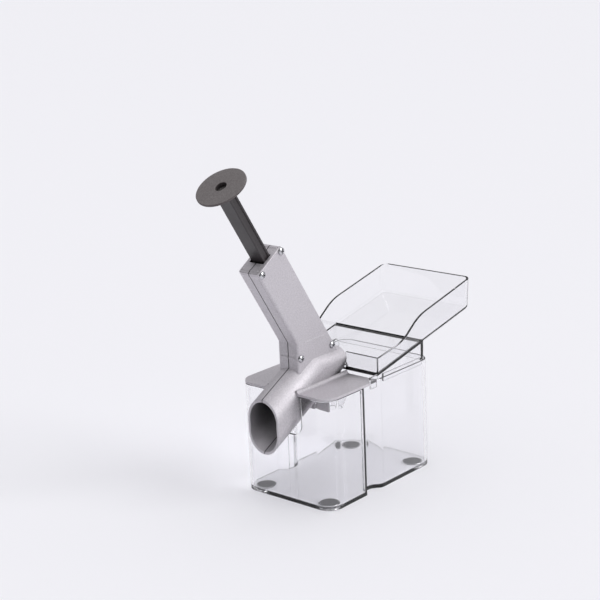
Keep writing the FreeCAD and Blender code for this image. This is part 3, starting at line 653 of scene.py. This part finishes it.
    def _seam_shade(self) -> None:
        """Draw painted shade: a dark line where the two halves meet in the middle plane, the shade in the
        seam's groove.
        """
        away = self.calc("ABSOLUTE", self.split(self._take("Place")).outputs["Y"])
        share = self.calc("DIVIDE", away, self._take("Half Width"))
        shade_line = self.calc("MULTIPLY_ADD", share, -self.SEAM_SHADE_FADE, self.SEAM_SHADE_FADE, clamp=True)
        noise = self._noise(scale=700.0, detail=2.0)
        speck = self.calc("MULTIPLY_ADD", noise, *self.SEAM_SHADE_SPECK)
        self._give("Mask", self.calc("MULTIPLY", shade_line, speck))

    def _flow(self) -> None:
        """Draw the faint waviness of a moulded clear wall."""
        self._give("Height", self._noise(self._take("Scale"), detail=1.0))


@cache
def shared_group(kind: Shared) -> Tree:
    """Return a shared group, built on first use."""
    return GroupPen(kind).tree


class MaterialPen(NodePen):
    """Draws one material round its Principled shader."""

    def __init__(self, name: str) -> None:
        """Make the material.

        Args:
            name: Its name.
        """
        self.material = bpy.data.materials.new(name)
        self.material.use_nodes = True
        super().__init__(self.material.node_tree)
        self.shader = self.tree.nodes["Principled BSDF"]

    @cached_property
    def place(self) -> Socket:
        """Socket with the place on the piece."""
        return self.add("TexCoord").outputs["Object"]

    def set(self, name: str, value: Value) -> None:
        """Give the shader a value under a name."""
        self.link(value, self.shader.inputs[name])

    def group(self, kind: Shared, values: Dict[str, float]) -> Node:
        """Put a shared group into the material.

        Args:
            kind: Which group.
            values: The material's own number for each input that differs from the default.

        Returns:
            The group's node.
        """
        node = self.add("Group")
        node.node_tree = shared_group(kind)
        self.link(self.place, node.inputs["Place"])
        for name, value in values.items():
            self.link(value, node.inputs[name])
        return node

    def bump(self, height: Socket, strength: float, distance: float) -> None:
        """Bend the shader's normal by a height.

        Args:
            height: The height.
            strength: How much of the bend shows.
            distance: The height of 1, in metres.
        """
        node = self.add("Bump", {"Strength": strength, "Distance": distance, "Height": height})
        self.set("Normal", node.outputs["Normal"])


def plain(name: str, color: Color, rough: float) -> Material:
    """Make a material of one colour.

    Args:
        name: Its name.
        color: Its colour.
        rough: Its roughness.

    Returns:
        The material.
    """
    pen = MaterialPen(name)
    pen.set("Base Color", color)
    pen.set("Roughness", rough)
    return pen.material


@dataclass(frozen=True)
class Finish:
    """A surface finish: grain, smudges, lighter corners (rubbed wear and painted highlight), painted shade
    in hollows and along the seam, and dust.
    """

    name: str
    color: Color
    color_b: Color
    metallic: float = 0.0
    rough: Tuple[float, float] = (0.35, 0.5)
    grain_scale: float = 2500.0
    grain_bump: float = 0.1
    grain_depth: float = 0.0002
    dust: float = 0.0
    dust_color: Color = (0.62, 0.6, 0.58)
    # Share of corners lightened, partly rubbed wear and partly a painted highlight, and their tint.
    edge: float = 0.0
    edge_wear_and_highlight_color: Color = (0.9, 0.9, 0.9)
    # Strength and colour of the painted shade in hollows.
    hollow_shade: float = 0.0
    hollow_shade_color: Color = (0.014, 0.013, 0.015)
    # Half width in millimetres and colour of the painted shade along the seam.
    seam_shade: float = 0.0
    seam_shade_color: Color = (0.03, 0.028, 0.03)
    ior: float = 1.5

    def build(self) -> Material:
        """Build the finish.

        Returns:
            The material.
        """
        pen = MaterialPen(self.name)
        pen.set("Metallic", self.metallic)
        pen.set("IOR", self.ior)
        smudge = pen.group(Shared.SMUDGE, {"Low": self.rough[0], "High": self.rough[1]})
        pen.set("Roughness", smudge.outputs["Roughness"])
        grain = pen.group(Shared.GRAIN, {"Scale": self.grain_scale})
        color = pen.mix(grain.outputs["Mask"], self.color, self.color_b)
        # Layers over the grain: lighter corners (rubbed wear and painted highlight), painted shade in
        # hollows and along the seam, and dust.
        layers = (
            (Shared.EDGE, "Amount", self.edge, self.edge_wear_and_highlight_color),
            (Shared.HOLLOW, "Amount", self.hollow_shade, self.hollow_shade_color),
            (Shared.JOINT, "Half Width", self.seam_shade * MM, self.seam_shade_color),
            (Shared.DUST, "Amount", self.dust, self.dust_color),
        )
        for kind, name, value, tint in layers:
            if value:
                layer = pen.group(kind, {name: value})
                color = pen.mix(layer.outputs["Mask"], color, tint)
        pen.set("Base Color", color)
        height = self.relief(pen, grain.outputs["Height"])
        pen.bump(height, self.grain_bump, self.grain_depth)
        return pen.material

    def relief(self, pen: MaterialPen, grain: Socket) -> Socket:
        """Return the height that the bump follows: here the grain alone."""
        return grain


@dataclass(frozen=True)
class TurnedFinish(Finish):
    """A finish with fine rings round the plunger axis."""

    ring_pitch: float = 0.45
    ring_depth: float = 0.25

    def relief(self, pen: MaterialPen, grain: Socket) -> Socket:
        """Lay rings on the grain, by the distance from the plunger axis.

        Args:
            pen: The material's pen.
            grain: The grain's height.

        Returns:
            The height of both.
        """
        turn = Matrix.Rotation(PLUNGER_TILT, 3, "Y")
        aim = pen.add("Mapping")
        aim.inputs["Rotation"].default_value = (0.0, PLUNGER_TILT, 0.0)
        aim.inputs["Location"].default_value = -(turn @ PLUNGER_FOOT) * MM
        pen.link(pen.place, aim.inputs["Vector"])
        parts = pen.split(aim.outputs["Vector"])
        flat = pen.add("CombineXYZ", {axis: parts.outputs[axis] for axis in "XY"})
        away = pen.add("VectorMath")
        away.operation = "LENGTH"
        pen.link(flat.outputs[0], away.inputs[0])
        turns = 2 * math.pi / (self.ring_pitch * MM)
        ring = pen.calc("SINE", pen.calc("MULTIPLY", away.outputs["Value"], turns))
        return pen.calc("MULTIPLY_ADD", ring, self.ring_depth, grain)


@dataclass(frozen=True)
class ClearFinish:
    """Crystal-clear moulded plastic with a trace of waviness and wipe marks."""

    name: str
    color: Color = (0.975, 0.973, 0.982)
    ior: float = 1.49
    rough: float = 0.03
    flow_bump: float = 0.05
    flow_depth: float = 0.001
    shadow: Color = (0.93, 0.93, 0.94)

    def build(self) -> Material:
        """Build the clear plastic.

        Returns:
            The material.
        """
        pen = MaterialPen(self.name)
        pen.set("Base Color", self.color)
        pen.set("Transmission Weight", 1.0)
        pen.set("IOR", self.ior)
        smudge = pen.group(Shared.SMUDGE, {"Low": 0.0, "High": self.rough})
        pen.set("Roughness", smudge.outputs["Roughness"])
        flow = pen.group(Shared.FLOW, {})
        pen.bump(flow.outputs["Height"], self.flow_bump, self.flow_depth)
        self._let_light_through(pen)
        return pen.material

    def _let_light_through(self, pen: MaterialPen) -> None:
        """Give the plastic the pale shadow of a thin clear wall.

        Args:
            pen: The material's pen.
        """
        open_wall = pen.add("BsdfTransparent", {"Color": self.shadow})
        either = pen.add("MixShader", {"Fac": pen.add("LightPath").outputs["Is Shadow Ray"]})
        pen.link(pen.shader.outputs["BSDF"], either.inputs[1])
        pen.link(open_wall.outputs["BSDF"], either.inputs[2])
        pen.link(either.outputs["Shader"], pen.tree.nodes["Material Output"].inputs["Surface"])


class Surface(Enum):
    """The finishes of the pitter's pieces."""

    # Corners lightened partly by a painted highlight; painted shade in the hollows and along the seam.
    BLASTED_ALUMINIUM = Finish(
        "blasted_aluminium", (0.42, 0.4, 0.425), (0.73, 0.7, 0.735), metallic=0.6, rough=(0.5, 0.62),
        grain_scale=900.0, grain_bump=0.35, edge=0.6, edge_wear_and_highlight_color=(0.92, 0.91, 0.93), hollow_shade=0.95, seam_shade=0.45)
    CLEAR = ClearFinish("clear_plastic")
    # Corners lightened partly by a painted highlight.
    BAR_BLACK = Finish(
        "bar_black", (0.022, 0.018, 0.02), (0.04, 0.034, 0.036), rough=(0.32, 0.46), grain_scale=3000.0,
        dust=0.12, edge=0.3, edge_wear_and_highlight_color=(0.16, 0.15, 0.15))
    # Corners lightened partly by a painted highlight; painted shade in the recess.
    KNOB_BLACK = TurnedFinish(
        "knob_black", (0.06, 0.048, 0.049), (0.1, 0.083, 0.085), rough=(0.42, 0.6), grain_scale=2600.0,
        grain_bump=0.3, dust=0.3, edge=0.4, edge_wear_and_highlight_color=(0.2, 0.19, 0.18), hollow_shade=0.8,
        hollow_shade_color=(0.012, 0.011, 0.011))
    # Painted shade in the cross recess and other hollows.
    SCREW_STEEL = Finish(
        "screw_steel", (0.5, 0.5, 0.52), (0.62, 0.62, 0.64), metallic=1.0, rough=(0.16, 0.26),
        grain_scale=3500.0, grain_bump=0.03, hollow_shade=0.95)
    BRIGHT_STEEL = Finish(
        "bright_steel", (0.75, 0.75, 0.77), (0.85, 0.85, 0.86), metallic=1.0, rough=(0.1, 0.2),
        grain_scale=3500.0, grain_bump=0.03)
    DRAWN_STEEL = Finish(
        "drawn_steel", (0.42, 0.42, 0.44), (0.6, 0.6, 0.62), metallic=1.0, rough=(0.25, 0.4),
        grain_scale=3500.0, grain_bump=0.06)
    FOOT_RUBBER = Finish(
        "foot_rubber", (0.13, 0.13, 0.14), (0.2, 0.2, 0.21), rough=(0.5, 0.7), grain_scale=2200.0,
        grain_bump=0.12, dust=0.1)
    WASHER_RUBBER = Finish(
        "washer_rubber", (0.02, 0.02, 0.02), (0.035, 0.035, 0.035), rough=(0.5, 0.7), grain_scale=2200.0,
        grain_bump=0.15)
    GUIDE_PLASTIC = Finish(
        "guide_plastic", (0.6, 0.6, 0.58), (0.7, 0.7, 0.68), rough=(0.4, 0.5), grain_bump=0.08)


@cache
def material_of(surface: Surface) -> Material:
    """Return a finish's material, built on first use."""
    return surface.value.build()


def dress(piece: Piece, surface: Surface) -> None:
    """Give a piece one finish all over.

    Args:
        piece: The piece.
        surface: The finish.
    """
    if not piece.material_slots:
        piece.data.materials.append(material_of(surface))
    for slot in piece.material_slots:
        slot.material = material_of(surface)


@dataclass
class SubAssembly:
    """Pieces that move with one CAD body."""

    body: str
    built: List[Piece] = field(default_factory=list, init=False)

    def stand_in(self, piece: Piece, node: str, slot: str, surface: Surface) -> None:
        """Let a piece take the place of a CAD node.

        Args:
            piece: The new piece.
            node: The CAD node that it replaces.
            slot: Not used.
            surface: Its finish.
        """
        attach(piece, self.body)
        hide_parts(node)
        dress(piece, surface)
        self.built.append(piece)

    def keep(self, node: str, surface: Surface) -> None:
        """Keep a CAD node as it is and give it a finish.

        Args:
            node: The CAD node.
            surface: Its finish.
        """
        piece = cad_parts[node]
        dress(piece, surface)
        self.built.append(piece)

    def report(self) -> None:
        """Log each piece that was built."""
        for piece in self.built:
            LOG.info("%s: %s, %d faces", self.body, piece.name, len(piece.data.polygons))


@dataclass
class Receiver(SubAssembly):
    """Clear container on four ribbed rubber feet."""

    body: str = "base"
    edge: float = 0.55
    foot_radius: float = 7.5
    foot_height: float = 2.0
    foot_ribs: int = 44
    foot_edge: float = 0.18
    rib_depth: float = 0.3
    dimple_radius: float = 3.4
    dimple_depth: float = 0.5
    corners: Tuple[str, ...] = ("front_near", "front_far", "back_near", "back_far")

    def build(self) -> None:
        """Build the container and its feet."""
        tub = finished_copy("container", self.edge, segments=3)
        self.stand_in(tub, "container", "clear_plastic", Surface.CLEAR)
        pattern = self._foot()
        for corner in self.corners:
            node = "foot_" + corner
            middle = box_middle(node)
            foot = twin(pattern, node + "_ribbed")
            seat(foot, Vector((middle.x, middle.y, 0.0)), UP)
            self.stand_in(foot, node, "foot_rubber", Surface.FOOT_RUBBER)
        bpy.data.objects.remove(pattern)

    def _foot(self) -> Piece:
        """Model one foot: a disc with fine ribs round it and a dimple below.

        Returns:
            The foot, at the origin.
        """
        small, large = self.dimple_radius, self.foot_radius
        profile = [(small, self.dimple_depth), (small, 0.0), (large, 0.0), (large, self.foot_height)]
        foot = turned("foot_pattern", profile, 2 * self.foot_ribs)
        focus(foot)
        bpy.ops.object.mode_set(mode="EDIT")
        select_only(foot, Pick.POINTS, self._is_valley)
        inner = 1.0 - self.rib_depth / self.foot_radius
        bpy.ops.transform.resize(value=(inner, inner, 1.0), center_override=(0.0, 0.0, 0.0))
        bpy.ops.object.mode_set(mode="OBJECT")
        round_edges(foot, self.foot_edge, segments=2, limit=50.0)
        smooth(foot, limit=40.0)
        return foot

    def _is_valley(self, point: Point) -> bool:
        """Tell whether a point lies between two ribs.

        Args:
            point: The point.

        Returns:
            Whether it does.
        """
        if point.co.xy.length < (self.dimple_radius + self.foot_radius) / 2:
            return False
        step = math.atan2(point.co.y, point.co.x) / (math.pi / self.foot_ribs)
        return round(step) % 2 == 1


@dataclass
class Hopper(SubAssembly):
    """Clear tray that feeds the tunnel."""

    body: str = "tray"
    edge: float = 0.45

    def build(self) -> None:
        """Build the tray."""
        tray = finished_copy("hopper_tray", self.edge, segments=3)
        self.stand_in(tray, "hopper_tray", "clear_plastic", Surface.CLEAR)


@dataclass
class Press(SubAssembly):
    """Two cast halves with their screws, guide, washer and clear funnel."""

    body: str = "press"
    edge: float = 0.25
    seam_edge: float = 0.4
    top_edge: float = 0.9
    top_reach: float = 100.0
    top_level: float = 0.99
    funnel_edge: float = 0.3
    head_radius: float = 2.8
    head_height: float = 1.9
    head_dome: float = 1.2
    dome_steps: int = 6
    dome_flat: float = 0.3
    head_sides: int = 40
    shank_radius: float = 1.5
    shank_length: float = 15.0
    recess_width: float = 0.75
    recess_reach: float = 1.75
    recess_depth: float = 1.1
    screws: Tuple[str, ...] = ("top_front", "top_back", "low_back", "toe")

    def build(self) -> None:
        """Build the casting and what it carries."""
        for side in ("near", "far"):
            node = "shell_" + side
            self.stand_in(self._half(node), node, "cast_aluminium", Surface.BLASTED_ALUMINIUM)
        pattern = self._screw()
        for place in self.screws:
            node = "screw_" + place
            face = box_middle(node)
            face.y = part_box(node)[0][1] / MM + self.head_height
            screw = twin(pattern, node + "_domed")
            seat(screw, face, -ACROSS)
            self.stand_in(screw, node, "screw_steel", Surface.SCREW_STEEL)
        bpy.data.objects.remove(pattern)
        funnel = finished_copy("pit_funnel", self.funnel_edge, segments=2)
        self.stand_in(funnel, "pit_funnel", "clear_plastic", Surface.CLEAR)
        self.keep("needle_guide", Surface.GUIDE_PLASTIC)
        self.keep("star_washer", Surface.WASHER_RUBBER)

    def _half(self, node: str) -> Piece:
        """Finish one half of the casting, first round its top and then at its other edges.

        Args:
            node: The half's CAD node.

        Returns:
            The finished copy.
        """
        half = clean_copy(node)
        soften(half, self._top_at, self.top_edge, segments=4)
        soften(half, self._edge_at, self.seam_edge, segments=2)
        settle(half, node, STRAY_SHARE * self.edge * MM)
        smooth(half, SHARP)
        return half

    def _edge_at(self, middle: Vector, one: Vector, other: Vector) -> float:
        """Return the radius of a casting edge, in millimetres: wider at the seam."""
        return self.seam_edge if abs(middle.y) < SEAM_REACH else self.edge

    def _top_at(self, middle: Vector, one: Vector, other: Vector) -> float:
        """Choose the radius of an edge round the outside of the top, and 0 for any other edge.

        Args:
            middle: The edge's middle, in millimetres.
            one: Normal of one face.
            other: Normal of the other face.

        Returns:
            The radius in millimetres.
        """
        from_foot = middle - PLUNGER_FOOT
        height = from_foot.dot(UP_AXIS)
        aside = from_foot - UP_AXIS * height
        level = max(one.dot(UP_AXIS), other.dot(UP_AXIS)) > self.top_level
        outside = abs(middle.y) > SEAM_REACH and (one + other).dot(aside) > 0.0
        return self.top_edge if level and height > self.top_reach and outside else 0.0

    def _screw(self) -> Piece:
        """Model one screw standing head up, with its face plane at the origin.

        Returns:
            The screw.
        """
        profile = [
            (self.shank_radius, -self.shank_length), (self.shank_radius, 0.0), (self.head_radius, 0.0),
            (self.head_radius, self.head_height - self.head_dome),
        ]
        for step in range(1, self.dome_steps + 1):
            angle = math.pi / 2 * step / (self.dome_steps + 1)
            radius = self.head_radius * math.cos(angle)
            profile.append((radius, self.head_height - self.head_dome * (1.0 - math.sin(angle))))
        profile.append((self.dome_flat, self.head_height))
        screw = turned("screw_pattern", profile, self.head_sides)
        cutter = self._cross()
        recess = screw.modifiers.new("recess", "BOOLEAN")
        recess.operation = "DIFFERENCE"
        recess.object = cutter
        recess.solver = "EXACT"
        apply_all(screw)
        bpy.data.objects.remove(cutter)
        smooth(screw, limit=35.0)
        return screw

    def _cross(self) -> Piece:
        """Model the cross-shaped cutter of the screw's recess.

        Returns:
            The cutter.
        """
        deselect()
        middle = (0.0, 0.0, self.head_height)
        size = (self.recess_width, self.recess_width, 2 * self.recess_depth)
        bpy.ops.mesh.primitive_cube_add(size=1.0, location=middle)
        cutter = bpy.context.object
        bpy.ops.object.mode_set(mode="EDIT")
        bpy.ops.mesh.select_all(action="SELECT")
        bpy.ops.transform.resize(value=size, center_override=middle)
        reach = self.recess_reach - self.recess_width / 2
        for axis in (Vector((1, 0, 0)), Vector((-1, 0, 0)), Vector((0, 1, 0)), Vector((0, -1, 0))):
            select_only(cutter, Pick.FACES, lambda face: self._is_arm_end(face, axis))
            bpy.ops.mesh.extrude_region_move(TRANSFORM_OT_translate={"value": axis * reach})
        bpy.ops.object.mode_set(mode="OBJECT")
        return cutter

    def _is_arm_end(self, face: Face, axis: Vector) -> bool:
        """Return whether a face of the cutter is the square end that looks along an axis."""
        across = face.center - axis * face.center.dot(axis)
        return face.normal.dot(axis) > 0.9 and abs(across.x) + abs(across.y) < self.recess_width / 4


@dataclass
class Plunger(SubAssembly):
    """Grooved bar with its round knob, needle, pin and washer."""

    body: str = "plunger"
    bar_edge: float = 0.25
    knob_bottom: float = 191.7
    knob_radius: float = 19.4
    knob_height: float = 7.0
    knob_edge: float = 0.4
    knob_sides: int = 128
    plate: float = 1.8
    boss_radius: float = 9.5
    boss_blend: float = 1.6
    blend_steps: int = 5
    recess_radius: float = 4.4
    recess_depth: float = 4.0

    def build(self) -> None:
        """Build the plunger."""
        bar = finished_copy("plunger_bar", self.bar_edge, segments=2)
        self.stand_in(bar, "plunger_bar", "bar_black", Surface.BAR_BLACK)
        self.stand_in(self._knob(), "knob", "knob_black", Surface.KNOB_BLACK)
        for node in ("needle", "needle_pin", "spring_washer"):
            self.keep(node, Surface.BRIGHT_STEEL)

    def _knob(self) -> Piece:
        """Model the turned knob with its blended boss and the recess in its face.

        Returns:
            The knob, in its place.
        """
        under, top = self.knob_height - self.plate, self.knob_height
        profile = [(self.boss_radius, 0.0), (self.boss_radius, under - self.boss_blend)]
        for step in range(1, self.blend_steps + 1):
            angle = math.pi / 2 * step / self.blend_steps
            radius = self.boss_radius + self.boss_blend * (1.0 - math.cos(angle))
            profile.append((radius, under - self.boss_blend * (1.0 - math.sin(angle))))
        profile += [
            (self.knob_radius, under), (self.knob_radius, top), (self.recess_radius, top),
            (self.recess_radius, top - self.recess_depth),
        ]
        knob = turned("knob_turned", profile, self.knob_sides)
        round_edges(knob, self.knob_edge, segments=4, limit=40.0)
        smooth(knob, limit=30.0)
        seat(knob, axis_point(self.knob_bottom), UP_AXIS)
        return knob


@dataclass
class ReturnSpring(SubAssembly):
    """Round-wire coil spring between the guide and the plunger's washer."""

    body: str = "press"
    seat_height: float = 32.4
    washer_height: float = 97.4
    radius: float = 4.4
    wire: float = 0.6
    turns: int = 13
    closed_turns: float = 1.0
    closed_pitch: float = 2.2
    steps: int = 24
    travel: float = 50.0
    clearance: float = 0.05

    def build(self) -> None:
        """Build the spring and give it a mesh of its own."""
        spring = self._coil()
        self.stand_in(spring, "return_spring", "spring_steel", Surface.DRAWN_STEEL)
        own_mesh(spring)

    def _level(self, turn: float) -> float:
        """Find how high the wire is, with closed turns at both ends.

        Args:
            turn: Turns from the wire's start.

        Returns:
            Its height up the plunger axis, in millimetres.
        """
        low = self.seat_height + self.wire + self.clearance
        high = self.washer_height - self.wire - self.clearance
        closed = self.closed_pitch * self.wire
        open_turns = self.turns - 2 * self.closed_turns
        pitch = (high - low - 2 * closed * self.closed_turns) / open_turns
        first = min(turn, self.closed_turns)
        last = max(turn - self.turns + self.closed_turns, 0.0)
        return low + (first + last) * closed + (turn - first - last) * pitch

    def _coil(self) -> Piece:
        """Sweep the wire along its coil.

        Returns:
            The spring as a mesh.
        """
        deselect()
        curve = bpy.data.curves.new("return_spring_coil", "CURVE")
        curve.dimensions = "3D"
        spline = curve.splines.new("NURBS")
        count = self.turns * self.steps + 1
        spline.points.add(count - 1)
        for index in range(count):
            turn = index / self.steps
            angle = 2 * math.pi * turn
            back, across = self.radius * math.cos(angle), self.radius * math.sin(angle)
            spline.points[index].co = (*(axis_point(self._level(turn), back, across) * MM), 1.0)
        spline.use_endpoint_u = True
        spline.order_u = 3
        curve.bevel_depth = self.wire * MM
        curve.bevel_resolution = 3
        curve.use_fill_caps = True
        curve.resolution_u = 2
        coil = bpy.data.objects.new("return_spring_coil", curve)
        bpy.context.collection.objects.link(coil)
        focus(coil)
        bpy.ops.object.convert(target="MESH")
        piece = bpy.context.object
        smooth(piece, limit=50.0)
        return piece


@dataclass
class Studio:
    """Pale floor, soft lights and the camera at the photograph's angle."""

    eye: Color = (-872.0, -733.6, 463.0)
    yaw: float = 48.6
    pitch: float = 15.51
    roll: float = -2.46
    focal: float = 1524.1
    photo_width: float = 600.0
    sensor: float = 36.0
    floor_size: float = 60.0
    floor_color: Color = (0.9, 0.895, 0.925)
    floor_rough: float = 0.8
    card_color: Color = (0.01, 0.01, 0.01)
    zenith: Color = (0.84, 0.84, 0.86)
    horizon: Color = (0.36, 0.36, 0.38)
    front: Color = (0.12, 0.12, 0.13)
    front_reach: Tuple[float, float] = (-0.9, 0.3)

    def build(self) -> None:
        """Set up the floor, the light and the camera."""
        bpy.context.scene.view_settings.view_transform = "Standard"
        self._floor()
        self._world()
        self._softbox("key", Vector((0.25, -0.85, 0.5)), spread=35.0, strength=1.25)
        self._softbox("top", Vector((-0.1, -0.1, 1.0)), spread=60.0, strength=0.45)
        self._card("dark_card", Vector((-0.45, 0.45, 0.5)), size=1.0)
        self._camera()

    def _floor(self) -> None:
        """Lay the floor just under the feet."""
        deselect()
        place = (0.0, 0.0, CAD_BOX[0][2])
        bpy.ops.mesh.primitive_plane_add(size=self.floor_size, location=place)
        floor = bpy.context.object
        floor.name = "floor"
        floor.data.materials.append(plain("pale_floor", self.floor_color, self.floor_rough))

    def _card(self, name: str, centre: Vector, size: float) -> None:
        """Stand an upright black card that faces the object and is seen only as a reflection.

        Args:
            name: Its name.
            centre: Its middle, in metres.
            size: Its width and height, in metres.
        """
        deselect()
        bpy.ops.mesh.primitive_plane_add(size=1.0, location=(0.0, 0.0, 0.0))
        card = bpy.context.object
        card.name = name
        ahead = Vector((-centre.x, -centre.y, 0.0)).normalized()
        turn = Matrix((UP.cross(ahead) * size, UP * size, ahead)).transposed().to_4x4()
        card.data.transform(Matrix.Translation(centre) @ turn)
        card.data.materials.append(plain(name, self.card_color, rough=1.0))
        for ray in ("camera", "diffuse", "transmission", "volume_scatter", "shadow"):
            setattr(card, "visible_" + ray, False)

    def _world(self) -> None:
        """Fill the surroundings with soft light that falls off towards the horizon."""
        world = bpy.data.worlds.new("studio")
        bpy.context.scene.world = world
        world.use_nodes = True
        pen = NodePen(world.node_tree)
        parts = pen.split(pen.add("TexCoord").outputs["Generated"])
        ahead = pen.ramp(parts.outputs["X"], *self.front_reach)
        around = pen.mix(ahead.outputs["Result"], self.front, self.horizon)
        sky = pen.mix(parts.outputs["Z"], around, self.zenith)
        pen.link(sky, pen.tree.nodes["Background"].inputs["Color"])

    def _softbox(self, name: str, source: Vector, spread: float, strength: float) -> None:
        """Hang one far, wide light, so that the floor is lit evenly.

        Args:
            name: Its name.
            source: The direction that it shines from.
            spread: How wide it looks, in degrees.
            strength: Its strength.
        """
        data = bpy.data.lights.new(name, "SUN")
        data.energy = strength
        data.angle = math.radians(spread)
        lamp = bpy.data.objects.new(name, data)
        bpy.context.collection.objects.link(lamp)
        lamp.rotation_euler = (-source).to_track_quat("-Z", "Y").to_euler()

    def _camera(self) -> None:
        """Put the camera where the photograph was taken from."""
        data = bpy.data.cameras.new("view")
        data.sensor_width = self.sensor
        data.lens = self.focal / self.photo_width * self.sensor
        camera = bpy.data.objects.new("view", data)
        bpy.context.collection.objects.link(camera)
        yaw, pitch, roll = (math.radians(angle) for angle in (self.yaw, self.pitch, self.roll))
        right = Vector((math.cos(yaw), -math.sin(yaw), 0.0))
        level = Vector((math.sin(yaw), math.cos(yaw), 0.0))
        ahead = level * math.cos(pitch) - UP * math.sin(pitch)
        up = right.cross(ahead)
        rolled_right = right * math.cos(roll) + up * math.sin(roll)
        rolled_up = up * math.cos(roll) - right * math.sin(roll)
        turn = Matrix((rolled_right, rolled_up, -ahead)).transposed().to_4x4()
        camera.matrix_world = Matrix.Translation(Vector(self.eye) * MM) @ turn
        bpy.context.scene.camera = camera


def main() -> None:
    """Build the pitter's sub-assemblies in order, then the studio."""
    logging.basicConfig(level=logging.INFO, format="%(name)s: %(message)s")
    for assembly in (Receiver(), Hopper(), Press(), Plunger(), ReturnSpring()):
        assembly.build()
        assembly.report()
    Studio().build()


if __name__ == "__main__":
    main()
